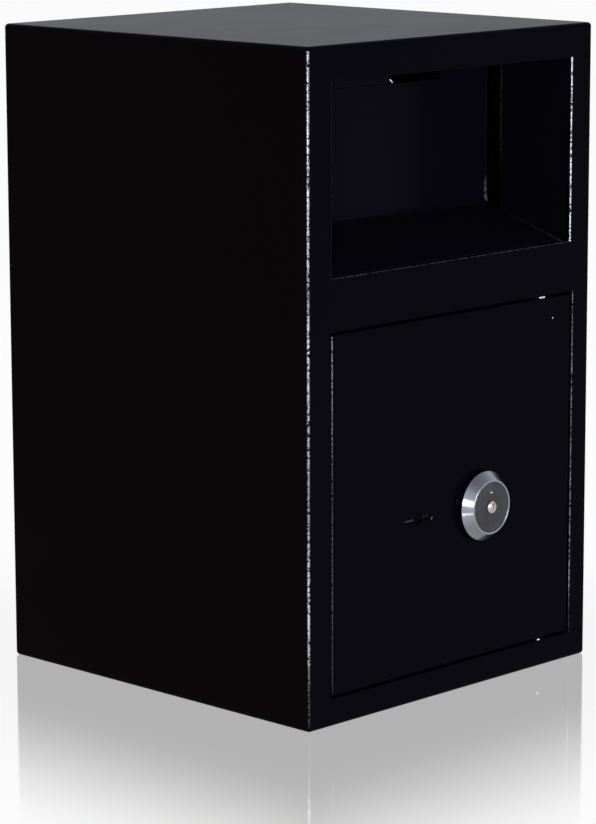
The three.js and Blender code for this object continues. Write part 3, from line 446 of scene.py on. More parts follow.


# Welded box. Below a set height near its foot, the painted highlight of bare steel on its edges fades. It
# starts at a set share of the full line there and drops to none at the floor.
shell = {"edge": 2.5 * mm, "rim": 0.9 * mm, "segments": 8, "rimSegments": 4, "glintFadeHeight": 41 * mm,
         "footGlintShare": 0.24, "anchorHole": 5 * mm}
frontLow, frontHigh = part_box("front_frame")
boxHigh = Vector((frontHigh.x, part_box("back_panel")[1].y, frontHigh.z))
doorLow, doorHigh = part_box("door_plate")
doorEdge = 0.8 * mm
cheekLow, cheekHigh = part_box("left_cheek")[1].x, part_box("right_cheek")[0].x
mouth = {"left": cheekLow, "right": cheekHigh, "low": 266.4 * mm, "high": 379.2 * mm}
doorway = {"left": -107 * mm, "right": 110 * mm, "low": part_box("pivot_bracket_lower")[1].z,
           "high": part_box("pivot_bracket_upper")[0].z}

# Edges where bare steel is laid to draw a bright line. This is partly edge wear and partly a painted
# highlight, set only on edges that face the light. The columns are: the axis across the edge, its place,
# the side with the sheet, the edge's radius, how far round it the bare steel goes, and how much of it there
# is.
glintEdges = {
    "bodyEdge": (0, frontLow.x, 1, shell["edge"], 15, 1.0),
    "mouthRight": (0, mouth["right"], 1, shell["rim"], 60, 1.0),
    "mouthLeft": (0, mouth["left"], -1, shell["rim"], 30, 0.10),
    "mouthLow": (2, mouth["low"], -1, shell["rim"], 30, 0.10),
    "doorwayRight": (0, doorway["right"], 1, shell["rim"], 26, 0.40),
    "doorLeft": (0, doorLow.x, 1, doorEdge, 26, 0.5),
}


def markBareEdgeGlint(mesh, faceY, *names):
    layer = mesh.loops.layers.float.new("bareEdgeGlint")
    for axis, place, side, radius, spread, bare in [glintEdges[name] for name in names]:
        for f in mesh.faces:
            arms = [Vector((side * (v.co[axis] - place) - radius, v.co.y - faceY - radius))
                    for v in f.verts]
            if any(abs(arm.length - radius) > 0.02 * mm or max(arm) > 1e-6 for arm in arms):
                continue
            for loop, arm in zip(f.loops, arms):
                # The steel centres on the middle of the rounding, the part facing the light, so that it
                # draws a painted highlight. Near the foot it fades.
                up = loop.vert.co.z / shell["glintFadeHeight"]
                away = abs(math.degrees(math.atan2(-arm.y, -arm.x)) - 45)
                share = bare * (1 if up > 1 else shell["footGlintShare"] * up)
                loop[layer] = share * min(1, 2 * max(0, 1 - away / spread))


def makeFrontFrame():
    xs = [frontLow.x, doorway["left"], mouth["left"], mouth["right"], doorway["right"], frontHigh.x]
    zs = [frontLow.z, doorway["low"], doorway["high"], mouth["low"], mouth["high"], frontHigh.z]
    holes = {(i, 1) for i in (1, 2, 3)} | {(2, 3)}
    mesh = bmesh.new()
    corner = {}
    for side, y in enumerate((frontLow.y, frontHigh.y)):
        for i, x in enumerate(xs):
            for k, z in enumerate(zs):
                corner[side, i, k] = mesh.verts.new((x, y, z))

    def solid(i, k):
        return 0 <= i < 5 and 0 <= k < 5 and (i, k) not in holes

    for i in range(5):
        for k in range(5):
            if not solid(i, k):
                continue
            loop = [(i, k), (i + 1, k), (i + 1, k + 1), (i, k + 1)]
            mesh.faces.new([corner[0, a, b] for a, b in loop])
            mesh.faces.new([corner[1, a, b] for a, b in reversed(loop)])
            beside = [(i, k - 1), (i + 1, k), (i, k + 1), (i - 1, k)]
            for n, (a, b) in enumerate(beside):
                if not solid(a, b):
                    start, end = loop[n], loop[(n + 1) % 4]
                    mesh.faces.new([corner[1, *start], corner[1, *end], corner[0, *end], corner[0, *start]])
    bmesh.ops.delete(mesh, geom=[v for v in mesh.verts if not v.link_faces], context="VERTS")
    bmesh.ops.dissolve_limit(mesh, angle_limit=0.01, verts=mesh.verts, edges=mesh.edges, delimit={"NORMAL"})
    bmesh.ops.recalc_face_normals(mesh, faces=mesh.faces)

    def onFront(edge):
        return all(abs(v.co.y - frontLow.y) < 1e-6 for v in edge.verts) and edge.calc_face_angle(0) > 1

    def outside(point):
        return (min(abs(point.x - frontLow.x), abs(point.x - frontHigh.x)) < 1e-6
                or min(abs(point.z - frontLow.z), abs(point.z - frontHigh.z)) < 1e-6)

    def throughSheet(edge):
        return abs(edge.verts[0].co.y - edge.verts[1].co.y) > 1e-6 and edge.calc_face_angle(0) > 1

    rim = [e for e in mesh.edges if onFront(e) and not all(outside(v.co) for v in e.verts)]
    outer = [e for e in mesh.edges
             if (onFront(e) or throughSheet(e)) and all(outside(v.co) for v in e.verts)]
    roundEdges(mesh, rim, shell["rim"], shell["rimSegments"])
    outer = [e for e in outer if e.is_valid]
    roundEdges(mesh, outer, shell["edge"], shell["segments"])
    for side in (-mm, mm):
        bisect(mesh, (0, 0, shell["glintFadeHeight"] + side), (0, 0, 1), dist=1e-7)
    markBareEdgeGlint(mesh, frontLow.y, "bodyEdge", "mouthRight", "mouthLeft", "mouthLow", "doorwayRight")
    return standFor(settle(toObject("frontFrame", mesh, glossEnamel)), "front_frame")


def makeShellPlate(name, node, holes=()):
    low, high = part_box(node)
    mesh = boxMesh(frontLow, boxHigh)
    roundEdges(mesh, mesh.edges, shell["edge"], shell["segments"])
    for axis in range(3):
        for bound, sign, whole in ((low, -1, frontLow), (high, 1, boxHigh)):
            if abs(bound[axis] - whole[axis]) < 1e-6:
                continue
            normal = Vector([sign if k == axis else 0 for k in range(3)])
            at = Vector([bound[axis] if k == axis else 0 for k in range(3)])
            result = bisect(mesh, at, normal, clear_outer=True)
            cutEdges = [g for g in result["geom_cut"] if isinstance(g, bmesh.types.BMEdge)]
            bmesh.ops.contextual_create(mesh, geom=cutEdges)
    bmesh.ops.recalc_face_normals(mesh, faces=mesh.faces)
    piece = toObject(name, mesh, glossEnamel)
    if holes:
        rod = rodCorners(shell["anchorHole"], low.z - mm, high.z + mm)
        carve(piece, [toObject("hole", turnedMesh(rod, "z", (x, y, 0), 48)) for x, y in holes])
    return standFor(settle(piece), node)


makeFrontFrame()
makeShellPlate("topPanel", "top_panel")
makeShellPlate("backPanel", "back_panel")
makeShellPlate("basePanel", "base_panel", [tuple(middleOf(f"anchor_plug_{i}")[:2]) for i in range(1, 5)])
print("welded box made")

# Door plate
door = {
    "edge": doorEdge, "cutEdge": 0.15 * mm, "spindleHole": 8.7 * mm,
    "keyX": (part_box("lock_bolt")[0].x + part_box("lock_bolt")[1].x) / 2, "knobX": middleOf("knob").x,
    "fittingsZ": middleOf("knob").z, "keySlotHalf": 12.3 * mm, "keySlotTall": 3.2 * mm,
    "keyRound": 3.4 * mm, "wardLong": 8.4 * mm, "wardTall": 1.5 * mm, "wardUp": 0.85 * mm,
    "wardBack": 0.6 * mm, "wardEdge": 0.3 * mm, "wardOver": 0.2 * mm, "rivetX": 91.6 * mm,
    "rivetZ": 220 * mm, "rivetRadius": 0.6 * mm, "rivetHigh": 0.25 * mm, "tickUp": 0.3 * mm,
    "tickFade": -1.4,
}


# The double-bit slot: a round middle with a round-ended arm on either side
def keyholeCutter(near, far):
    mesh = bmesh.new()
    slot, half, disc = door["keySlotHalf"], door["keySlotTall"] / 2, door["keyRound"]
    meet = math.asin(half / disc)
    outline = []
    for start, middle, radius in ((meet, 0, disc), (math.pi / 2, -1, half), (math.pi + meet, 0, disc),
                                  (-math.pi / 2, 1, half)):
        sweep = math.pi - 2 * meet if middle == 0 else math.pi
        shift = middle * (slot - half)
        outline += [(door["keyX"] + shift + radius * math.cos(start + sweep * k / 16),
                     door["fittingsZ"] + radius * math.sin(start + sweep * k / 16)) for k in range(17)]
    front = mesh.faces.new([mesh.verts.new((x, near, z)) for x, z in outline])
    deep = bmesh.ops.extrude_face_region(mesh, geom=[front])
    for vert in deep["geom"]:
        if isinstance(vert, bmesh.types.BMVert):
            vert.co.y = far
    bmesh.ops.recalc_face_normals(mesh, faces=mesh.faces)
    return toObject("keyholeCut", mesh)


def makeDoorPlate():
    mesh = boxMesh(doorLow, doorHigh)
    roundEdges(mesh, mesh.edges, door["edge"], 4)
    markBareEdgeGlint(mesh, doorLow.y, "doorLeft")
    piece = toObject("doorPlate", mesh, glossEnamel)
    spindle = turnedMesh(rodCorners(door["spindleHole"], doorLow.y - mm, doorHigh.y + mm), "y",
                         (door["knobX"], 0, door["fittingsZ"]), 64)
    carve(piece, [keyholeCutter(doorLow.y - mm, doorHigh.y + mm), toObject("spindleCut", spindle)])
    breakEdges(piece, door["cutEdge"])
    settle(piece)
    slotEnd, slotTall = door["keyX"] + door["keySlotHalf"], door["keySlotTall"]

    # A painted highlight: bare steel on the lower half of the slot's right end, so that its wall shows a
    # bright tick. Its inner corners are below zero, so that it fades out a short way into the hole.
    def bareAt(corner, corners):
        ups = [c.z - door["fittingsZ"] for c in corners]
        if min(ups) < -slotTall or max(ups) > door["tickUp"]:
            return 0.0
        if not all(slotEnd - slotTall / 2 < c.x < slotEnd + mm for c in corners):
            return 0.0
        return 1.0 if corner.y < doorLow.y + mm else door["tickFade"]

    showGlintSteel(piece, bareAt)
    return standFor(piece, "door_plate")


# Small bright pieces that the picture shows on the door: the ward in the keyhole and a rivet of the stile
def makeDoorDetails():
    left = door["keyX"] - door["keySlotHalf"]
    bottom = door["fittingsZ"] - door["keySlotTall"] / 2 + door["wardUp"]
    mesh = boxMesh((left - door["wardOver"], doorLow.y + door["wardBack"], bottom),
                   (left + door["wardLong"], doorHigh.y, bottom + door["wardTall"]))
    roundEdges(mesh, mesh.edges, door["wardEdge"], 3)
    rideWith(settle(toObject("keyholeWard", mesh, blackSteel)), "door_plate")
    radius, foot = door["rivetRadius"], doorLow.y + mm
    dome = domeCorners(radius, doorLow.y - door["rivetHigh"], door["rivetHigh"], 6)
    mesh = turnedMesh([*dome, (radius, foot), (0, foot)], "y", (door["rivetX"], 0, door["rivetZ"]), 24)
    rideWith(settle(toObject("stileRivet", mesh, zincPlate)), "door_plate")


makeDoorPlate()
makeDoorDetails()
print("door plate made")

# Knob
knob = {
    "stand": 0.6 * mm, "backRadius": 19.6 * mm, "bandHeight": 3.2 * mm, "rimRadius": 21.5 * mm,
    "rimHeight": 4.1 * mm, "faceRadius": 16.6 * mm, "faceHeight": 9.6 * mm, "dishRadius": 15.7 * mm,
    "dishDeep": 0.5 * mm, "dishEdge": 0.3 * mm, "dotRadius": 1.1 * mm, "dotUp": 9 * mm,
    "dotDeep": 0.5 * mm, "bore": 2.3 * mm, "screwRadius": 4 * mm, "screwHigh": 1.6 * mm,
    "screwShank": 2 * mm, "crossHalf": 2.3 * mm, "crossWide": 0.9 * mm, "crossDeep": 1.2 * mm,
    "crossTurn": 20, "crossEdge": 0.12 * mm, "soft": 0.35 * mm, "slack": 0.1 * mm,
}


def makeKnob():
    face, dish = knob["faceHeight"], knob["faceHeight"] - knob["dishDeep"]
    profile = softened([
        (knob["bore"], knob["stand"]), (knob["backRadius"], knob["stand"]),
        (knob["backRadius"], knob["bandHeight"]), (knob["rimRadius"], knob["bandHeight"]),
        (knob["rimRadius"], knob["rimHeight"]), (knob["faceRadius"], face), (knob["dishRadius"], face),
        (knob["dishRadius"] - knob["dishEdge"], dish), (knob["bore"], dish),
    ], knob["soft"], 4)
    profile = [(r, doorLow.y - h) for r, h in profile]
    profile.append(profile[0])
    mesh = turnedMesh(profile, "y", (door["knobX"], 0, door["fittingsZ"]), 128)
    for f in mesh.faces:
        centre = f.calc_center_median()
        out = math.hypot(centre.x - door["knobX"], centre.z - door["fittingsZ"])
        if out < knob["dishRadius"] - knob["slack"] and centre.y < doorLow.y - dish + knob["slack"]:
            f.material_index = 1
    piece = toObject("turningKnob", mesh, turnedChrome, darkFace)
    rod = rodCorners(knob["dotRadius"], doorLow.y - face - mm, doorLow.y - dish + knob["dotDeep"])
    dot = turnedMesh(rod, "y", (door["knobX"], 0, door["fittingsZ"] + knob["dotUp"]), 32)
    carve(piece, [toObject("dotCut", dot, brightScrew)])
    return standFor(settle(piece, 25), "knob")


def makeKnobScrew():
    low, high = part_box("knob_screw")
    dome = domeCorners(knob["screwRadius"], low.y, knob["screwHigh"], 10)
    shank = [(knob["screwShank"], low.y + knob["screwHigh"]), (knob["screwShank"], high.y), (0, high.y)]
    mesh = turnedMesh([*dome, *shank], "y", (door["knobX"], 0, door["fittingsZ"]), 48)
    piece = toObject("knobScrew", mesh, brightScrew)
    cutters = []
    for turn in (knob["crossTurn"], knob["crossTurn"] + 90):
        blade = boxMesh((-knob["crossHalf"], low.y - mm, -knob["crossWide"] / 2),
                        (knob["crossHalf"], low.y + knob["crossDeep"], knob["crossWide"] / 2))
        bmesh.ops.transform(blade, matrix=Matrix.Translation((door["knobX"], 0, door["fittingsZ"]))
                            @ Matrix.Rotation(math.radians(turn), 4, "Y"), verts=blade.verts)
        cutters.append(toObject("crossCut", blade))
    carve(piece, cutters)
    breakEdges(piece, knob["crossEdge"], 50)
    return standFor(settle(piece, 40), "knob_screw")


makeKnob()
makeKnobScrew()
print("knob made")


# Geometry Nodes: a bent sheet, a rectangle swept along a line with a radius at each bend
def bentSheetTree():
    tree, given = newTree("bentSheet", {"Thickness": "Float", "Width": "Float", "Rim": "Float",
                                        "Bend Steps": "Int", "Across": "Vector", "Finish": "Material"})
    line = addNode(tree, "GeometryNodeMeshToCurve", {"Mesh": given["Geometry"]})
    radius = addNode(tree, "GeometryNodeInputNamedAttribute", {"data_type": "FLOAT", "Name": "bendRadius"})
    bent = addNode(tree, "GeometryNodeFilletCurve", {
        "mode": "POLY", "Curve": line, "Count": given["Bend Steps"], "Radius": radius})
    level = addNode(tree, "GeometryNodeSetCurveNormal", {
        "mode": "FREE", "Curve": bent, "Normal": given["Across"]})
    section = addNode(tree, "GeometryNodeCurvePrimitiveQuadrilateral", {
        "Width": given["Width"], "Height": given["Thickness"]})
    rimmed = addNode(tree, "GeometryNodeFilletCurve", {
        "mode": "POLY", "Count": 3, "Curve": section, "Radius": given["Rim"]})
    swept = addNode(tree, "GeometryNodeCurveToMesh", {
        "Fill Caps": True, "Curve": level, "Profile Curve": rimmed})
    finishTree(tree, swept, given["Finish"])
    return tree


bentSheet = bentSheetTree()


def growSheet(name, node, corners, bends, thickness, width, rim, across, steps):
    return grow(name, bentSheet, corners, {
        "Thickness": thickness, "Width": width, "Rim": rim, "Bend Steps": steps, "Across": across,
        "Finish": finishOf[node],
    }, [(i, i + 1) for i in range(len(corners) - 1)], bends, 40, rim)


# Bare steel in a strip at its right end paints highlights: a bright crescent up the panel's foot, a faint
# lighter strip on the panel and a light line along the floor.
scoop = {
    "sheet": 1.5 * mm, "returnY": -124.85 * mm, "returnTall": 5 * mm, "panelY": -62.75 * mm, "slope": 17,
    "lipZ": 265.916 * mm, "knuckle": 4.5 * mm, "rodHole": 3.4 * mm, "notchHalf": 60 * mm,
    "notchTall": 8.6 * mm, "notchReach": 4 * mm, "lipBend": 1.75 * mm, "floorBend": 6 * mm,
    "rim": 0.3 * mm, "glintStrip": 2.6 * mm, "glintUp": 18 * mm, "glintPanelFoot": 3.2, "glintPanel": 0.03,
    "glintFloor": 0.35, "glintFrom": 20 * mm, "glintLong": 40 * mm,
}


def makeScoop():
    low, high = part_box("deposit_scoop")
    axis = middleOf("scoop_hinge_rod")
    slope = math.tan(math.radians(scoop["slope"]))
    cornerZ = scoop["lipZ"] + (scoop["panelY"] - scoop["returnY"]) * slope
    lipY, panelY, half, reach = scoop["returnY"], scoop["panelY"], scoop["notchHalf"], scoop["notchReach"]
    corners = [(0, lipY, scoop["lipZ"] - scoop["returnTall"]), (0, lipY, scoop["lipZ"]),
               (0, panelY, cornerZ), (0, panelY, axis.z)]
    bends = [0, scoop["lipBend"], scoop["floorBend"], 0]
    piece = growSheet("depositScoop", "deposit_scoop", corners, bends, scoop["sheet"], high.x - low.x,
                      scoop["rim"], (1, 0, 0), 20)
    notch = boxMesh((-half, panelY - reach, axis.z - scoop["notchTall"]),
                    (half, panelY + reach, axis.z + reach))
    carve(piece, [toObject("notchCut", notch)])
    glintX, glintTop = high.x - scoop["glintStrip"], cornerZ + scoop["glintUp"]
    cutAcross(piece, ((glintX, 0, 0), (1, 0, 0)), ((0, 0, glintTop), (0, 0, 1)))

    def bareAt(corner, corners):
        if min(c.x for c in corners) < glintX - 0.01 * mm:
            return 0.0
        if all(c.y > panelY - 0.5 * scoop["floorBend"] and c.z < glintTop + 0.01 * mm for c in corners):
            up = (corner.z - cornerZ) / scoop["glintUp"]
            return scoop["glintPanelFoot"] * max(0, 1 - abs(up - 0.5) / 0.5)
        if corner.z > cornerZ:
            return scoop["glintPanel"]
        return scoop["glintFloor"] * max(0, (panelY - scoop["glintFrom"] - corner.y) / scoop["glintLong"])

    showGlintSteel(piece, bareAt)
    standFor(piece, "deposit_scoop")
    for name, side in (("scoopCurlLeft", -1), ("scoopCurlRight", 1)):
        ends = [side * scoop["notchHalf"], side * high.x]
        ring = softened([(scoop["rodHole"], ends[0]), (scoop["knuckle"], ends[0]),
                         (scoop["knuckle"], ends[1]), (scoop["rodHole"], ends[1])], scoop["rim"])
        curl = turnedMesh([*ring, ring[0]], "x", (0, axis.y, axis.z), 48)
        standFor(settle(toObject(name, curl, satinEnamel)), "deposit_scoop")


# The cheeks' rear bends take a little bare steel, full above the upper height and fading to none at the
# lower. This is a painted highlight that draws a faint light line down the bend.
cheek = {"sheet": 2 * mm, "bend": 4 * mm, "rim": 0.35 * mm, "reach": 2.5 * mm, "worn": 0.2,
         "glintLow": 300 * mm, "glintHigh": 325 * mm}


def makeCheeks():
    for name, node, side in (("leftCheek", "left_cheek", -1), ("rightCheek", "right_cheek", 1)):
        low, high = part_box(node)
        high.y += cheek["reach"]
        half = cheek["sheet"] / 2
        x, far = (high.x - half, low.x) if side < 0 else (low.x + half, high.x)
        back, middleZ = high.y - half, (low.z + high.z) / 2
        corners = [(x, low.y, middleZ), (x, back, middleZ), (far, back, middleZ)]
        piece = growSheet(name, node, corners, [0, cheek["bend"], 0], cheek["sheet"], high.z - low.z,
                          cheek["rim"], (0, 0, 1), 12)
        cutAcross(piece, ((0, 0, cheek["glintLow"]), (0, 0, 1)), ((0, 0, cheek["glintHigh"]), (0, 0, 1)))
        rear = high.y - cheek["bend"] - half

        def bareAt(corner, corners):
            bend = min(c.y for c in corners) > rear and max(c.y for c in corners) < high.y
            up = (corner.z - cheek["glintLow"]) / (cheek["glintHigh"] - cheek["glintLow"])
            return cheek["worn"] * bend * min(1, max(0, up))

        showGlintSteel(piece, bareAt)
        standFor(piece, node)


# Geometry Nodes: trapezoid teeth in a row on the edge of a sheet
def toothRowTree():
    tree, given = newTree("toothRow", {"Teeth": "Int", "Pitch": "Float", "Depth": "Float",
                                       "Thickness": "Float", "Finish": "Material"})
    step = addNode(tree, "ShaderNodeCombineXYZ", {"X": given["Pitch"]})
    row = addNode(tree, "GeometryNodeMeshLine", {"Count": given["Teeth"], "Offset": step})
    tip = addNode(tree, "ShaderNodeMath", {"operation": "MULTIPLY", 0: given["Pitch"], 1: 0.45})
    root = addNode(tree, "ShaderNodeMath", {"operation": "MULTIPLY", 0: given["Pitch"], 1: 0.96})
    outline = addNode(tree, "GeometryNodeCurvePrimitiveQuadrilateral", {
        "mode": "TRAPEZOID", "Offset": 0.0, "Height": given["Depth"], "Bottom Width": root,
        "Top Width": tip})
    face = addNode(tree, "GeometryNodeFillCurve", {"mode": "NGONS", "Curve": outline})
    solid = addNode(tree, "GeometryNodeExtrudeMesh", {
        "Offset": (0, 0, 1), "Individual": False, "Mesh": face, "Offset Scale": given["Thickness"]})
    back = addNode(tree, "GeometryNodeFlipFaces", {"Mesh": face})
    whole = addNode(tree, "GeometryNodeJoinGeometry")
    for part in (solid, back):
        tree.links.new(part.outputs[0], whole.inputs[0])
    tooth = addNode(tree, "GeometryNodeMergeByDistance", {"Distance": 0.001 * mm, "Geometry": whole})
    placed = addNode(tree, "GeometryNodeInstanceOnPoints", {
        "Rotation": (math.pi / 2, 0, 0), "Points": row, "Instance": tooth})
    start = addNode(tree, "GeometryNodeInstanceOnPoints", {"Points": given["Geometry"], "Instance": placed})
    finishTree(tree, start, given["Finish"])
    return tree


baffle = {
    "sheet": 2 * mm, "bend": 3 * mm, "frontBend": 1.5 * mm, "flangeTall": 14 * mm, "lipTall": 5 * mm,
    "rim": 0.3 * mm, "teeth": 24, "toothDeep": 3.5 * mm, "toothRoot": 0.5 * mm, "toothInset": 0.1 * mm,
}


def makeBaffle():
    low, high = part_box("fishing_baffle")
    half = baffle["sheet"] / 2
    frontY, backY = low.y + half, high.y - half
    rootZ = low.z + half + baffle["lipTall"] - baffle["toothDeep"] + baffle["toothRoot"]
    corners = [(0, backY, high.z), (0, backY, high.z - baffle["flangeTall"]), (0, frontY, low.z + half),
               (0, frontY, rootZ)]
    bends = [0, baffle["bend"], baffle["frontBend"], 0]
    sheet = growSheet("fishingBaffle", "fishing_baffle", corners, bends, baffle["sheet"], high.x - low.x,
                      baffle["rim"], (1, 0, 0), 12)
    standFor(sheet, "fishing_baffle")
    pitch = (high.x - low.x) / baffle["teeth"]
    thick = baffle["sheet"] - 2 * baffle["toothInset"]
    first = (low.x + pitch / 2, low.y + baffle["toothInset"] + thick,
             rootZ - baffle["toothRoot"] + baffle["toothDeep"] / 2)
    teeth = grow("baffleTeeth", toothRowTree(), [first], {
        "Teeth": baffle["teeth"], "Pitch": pitch, "Depth": baffle["toothDeep"], "Thickness": thick,
        "Finish": satinEnamel})
    standFor(teeth, "fishing_baffle")


guard = {"right": 14 * mm, "low": 365.6 * mm, "high": 371 * mm, "sheet": 1.2 * mm, "edge": 0.3 * mm,
         "tabRadius": 0.8 * mm, "tabLong": 2 * mm, "tabAt": (0.9 * mm, -0.4 * mm, 1.6 * mm), "tabLean": 42}


# The lip of the hinge bracket that hides the left part of the return spring, and its bright corner tab
def makeGuard():
    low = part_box("scoop_hinge_bracket")[0]
    mesh = boxMesh((low.x, low.y, guard["low"]), (guard["right"], low.y + guard["sheet"], guard["high"]))
    roundEdges(mesh, mesh.edges, guard["edge"], 3)
    lip = settle(toObject("springGuard", mesh, satinEnamel))
    rideWith(lip, "scoop_hinge_bracket")
    radius, half = guard["tabRadius"], guard["tabLong"] / 2
    curve = [math.pi / 2 * k / 6 for k in range(7)]
    profile = [(radius * math.sin(a), -half - radius * math.cos(a)) for a in curve]
    profile += [(radius * math.cos(a), half + radius * math.sin(a)) for a in curve]
    mesh = turnedMesh(profile, "x", (0, 0, 0), 20)
    right, forward, up = guard["tabAt"]
    place = Matrix.Translation((guard["right"] + right, low.y + forward, guard["low"] + up))
    lean = Matrix.Rotation(math.radians(guard["tabLean"]), 4, "Y")
    bmesh.ops.transform(mesh, matrix=place @ lean, verts=mesh.verts)
    tab = settle(toObject("guardTab", mesh, brightZinc))
    rideWith(tab, "scoop_hinge_bracket")


makeScoop()
makeCheeks()
makeBaffle()
makeGuard()
print("deposit scoop, cheeks and baffle made")


# Geometry Nodes: one turned form, from the corners of half its section, set on every point of the piece
def turnedRowTree(name, cornerCount, socket):
    inputs = {f"Corner {i + 1}": "Vector" for i in range(cornerCount)}
    inputs |= {"Edge Radius": "Float", "Segments": "Int", "Turn": "Vector", "Finish": "Material"}
    if socket:
        inputs |= {"Socket Radius": "Float", "Socket Depth": "Float", "Head Top": "Vector"}
    tree, given = newTree(name, inputs)
    chain = addNode(tree, "GeometryNodeMeshLine", {"Count": cornerCount})
    index = addNode(tree, "GeometryNodeInputIndex")
    corner = addNode(tree, "GeometryNodeIndexSwitch", {"data_type": "VECTOR", "Index": index})
    for _ in range(cornerCount - 2):
        corner.index_switch_items.new()
    for i in range(cornerCount):
        tree.links.new(given[f"Corner {i + 1}"], corner.inputs[i + 1])
    drawn = addNode(tree, "GeometryNodeSetPosition", {"Geometry": chain, "Position": corner})
    section = addNode(tree, "GeometryNodeMeshToCurve", {"Mesh": drawn})
    rounded = addNode(tree, "GeometryNodeFilletCurve", {
        "mode": "POLY", "Count": 3, "Limit Radius": True, "Curve": section, "Radius": given["Edge Radius"]})
    axis = addNode(tree, "GeometryNodeCurvePrimitiveCircle", {
        "Radius": 0.001 * mm, "Resolution": given["Segments"]})
    lathe = addNode(tree, "GeometryNodeCurveToMesh", {"Curve": axis, "Profile Curve": rounded})
    form = addNode(tree, "GeometryNodeMergeByDistance", {"Distance": 0.005 * mm, "Geometry": lathe})
    if socket:
        twice = addNode(tree, "ShaderNodeMath", {"operation": "MULTIPLY", 0: given["Socket Depth"], 1: 2.0})
        key = addNode(tree, "GeometryNodeMeshCylinder", {
            "Vertices": 6, "Radius": given["Socket Radius"], "Depth": twice})
        atTop = addNode(tree, "GeometryNodeTransform", {"Geometry": key, "Translation": given["Head Top"]})
        form = addNode(tree, "GeometryNodeMeshBoolean", {
            "operation": "DIFFERENCE", "Mesh 1": form, "Mesh 2": atTop})
    turn = addNode(tree, "FunctionNodeEulerToRotation", {"Euler": given["Turn"]})
    placed = addNode(tree, "GeometryNodeInstanceOnPoints", {
        "Points": given["Geometry"], "Instance": form, "Rotation": turn})
    finishTree(tree, placed, given["Finish"])
    return tree


rowTrees = {}
towards = {"+y": (math.pi / 2, 0, 0), "-y": (-math.pi / 2, 0, 0), "+z": (math.pi, 0, 0),
           "+x": (0, -math.pi / 2, 0)}


# The corners are radius and height, and the heights run from the low side of the nodes' boxes
def turnedRow(name, names, way, corners, edge, segments=40, socket=None):
    kind = (len(corners), bool(socket))
    if kind not in rowTrees:
        rowTrees[kind] = turnedRowTree(f"turnedRow{len(corners)}{'Socket' if socket else 'Plain'}", *kind)
    axis = "xyz".index(way[1])
    places = []
    for node in names:
        place = middleOf(node)
        place[axis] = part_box(node)[0 if way[0] == "+" else 1][axis]
        places.append(place)
    sizes = {f"Corner {i + 1}": (radius, height, 0) for i, (radius, height) in enumerate(corners)}
    sizes |= {"Edge Radius": edge, "Segments": segments, "Turn": towards[way], "Finish": finishOf[names[0]]}
    if socket:
        sizes |= {"Socket Radius": socket[0], "Socket Depth": socket[1],
                  "Head Top": (0, 0, -max(height for _, height in corners))}
    return standFor(grow(name, rowTrees[kind], places, sizes), *names)


def screwCorners(shank, head, headThick, whole):
    return [(0, 0), (shank, 0), (shank, whole - headThick), (head, whole - headThick), (head, whole),
            (0, whole)]


def ringCorners(inner, outer, tall):
    return [(inner, tall / 2), (inner, 0), (outer, 0), (outer, tall), (inner, tall), (inner, tall / 2)]


turnedParts = {
    "screwEdge": 0.35 * mm, "ringEdge": 0.12 * mm, "rodEdge": 0.5 * mm,
    "lockScrew": {"shank": 1.8 * mm, "head": 2.8 * mm, "thick": 0.9 * mm, "socket": (1.2 * mm, 0.6 * mm)},
    "coverScrew": {"shank": 2 * mm, "head": 3.8 * mm, "thick": 2 * mm, "socket": (1.7 * mm, 1.2 * mm)},
    "boltScrew": {"shank": 2.5 * mm, "head": 5 * mm, "thick": 2.5 * mm, "socket": (2.3 * mm, 1.5 * mm)},
    "stud": {"shank": 3 * mm, "head": 5 * mm, "thick": 1.8 * mm, "socket": (1.7 * mm, 1 * mm)},
    "plug": {"shank": 4.7 * mm, "head": 8 * mm, "thick": 2 * mm, "edge": 0.5 * mm},
    "bolt": {"radius": 6 * mm, "edge": 1.2 * mm},
    "pivot": {"pin": 3 * mm, "bore": 3.4 * mm, "bush": 4.9 * mm, "washer": 5.8 * mm},
    "hinge": {"rod": 3 * mm, "clip": 5.5 * mm, "bore": 3.3 * mm},
    "spindle": {"radius": 5 * mm, "collar": 8 * mm, "collarThick": 2 * mm, "collarGap": 0.4 * mm,
                "bushBore": 5.4 * mm, "bush": 8.4 * mm, "flange": 11 * mm, "flangeThick": 1.8 * mm},
}


def makeScrews():
    for name, key, nodesHere in (
        ("lockScrews", "lockScrew", [f"lock_screw_{i}" for i in range(1, 5)]),
        ("coverScrews", "coverScrew", [f"cover_screw_{i}" for i in range(1, 5)]),
        ("boltScrews", "boltScrew", ["bolt_screw_lower", "bolt_screw_upper"]),
        ("barGuideStud", "stud", ["bar_guide_stud"]),
    ):
        size = turnedParts[key]
        corners = screwCorners(size["shank"], size["head"], size["thick"], spanOf(nodesHere[0], 1))
        turnedRow(name, nodesHere, "+y", corners, turnedParts["screwEdge"], 40, size["socket"])
    plug = turnedParts["plug"]
    plugs = [f"anchor_plug_{i}" for i in range(1, 5)]
    corners = screwCorners(plug["shank"], plug["head"], plug["thick"], spanOf(plugs[0], 2))
    turnedRow("anchorPlugs", plugs, "+z", corners, plug["edge"], 48)


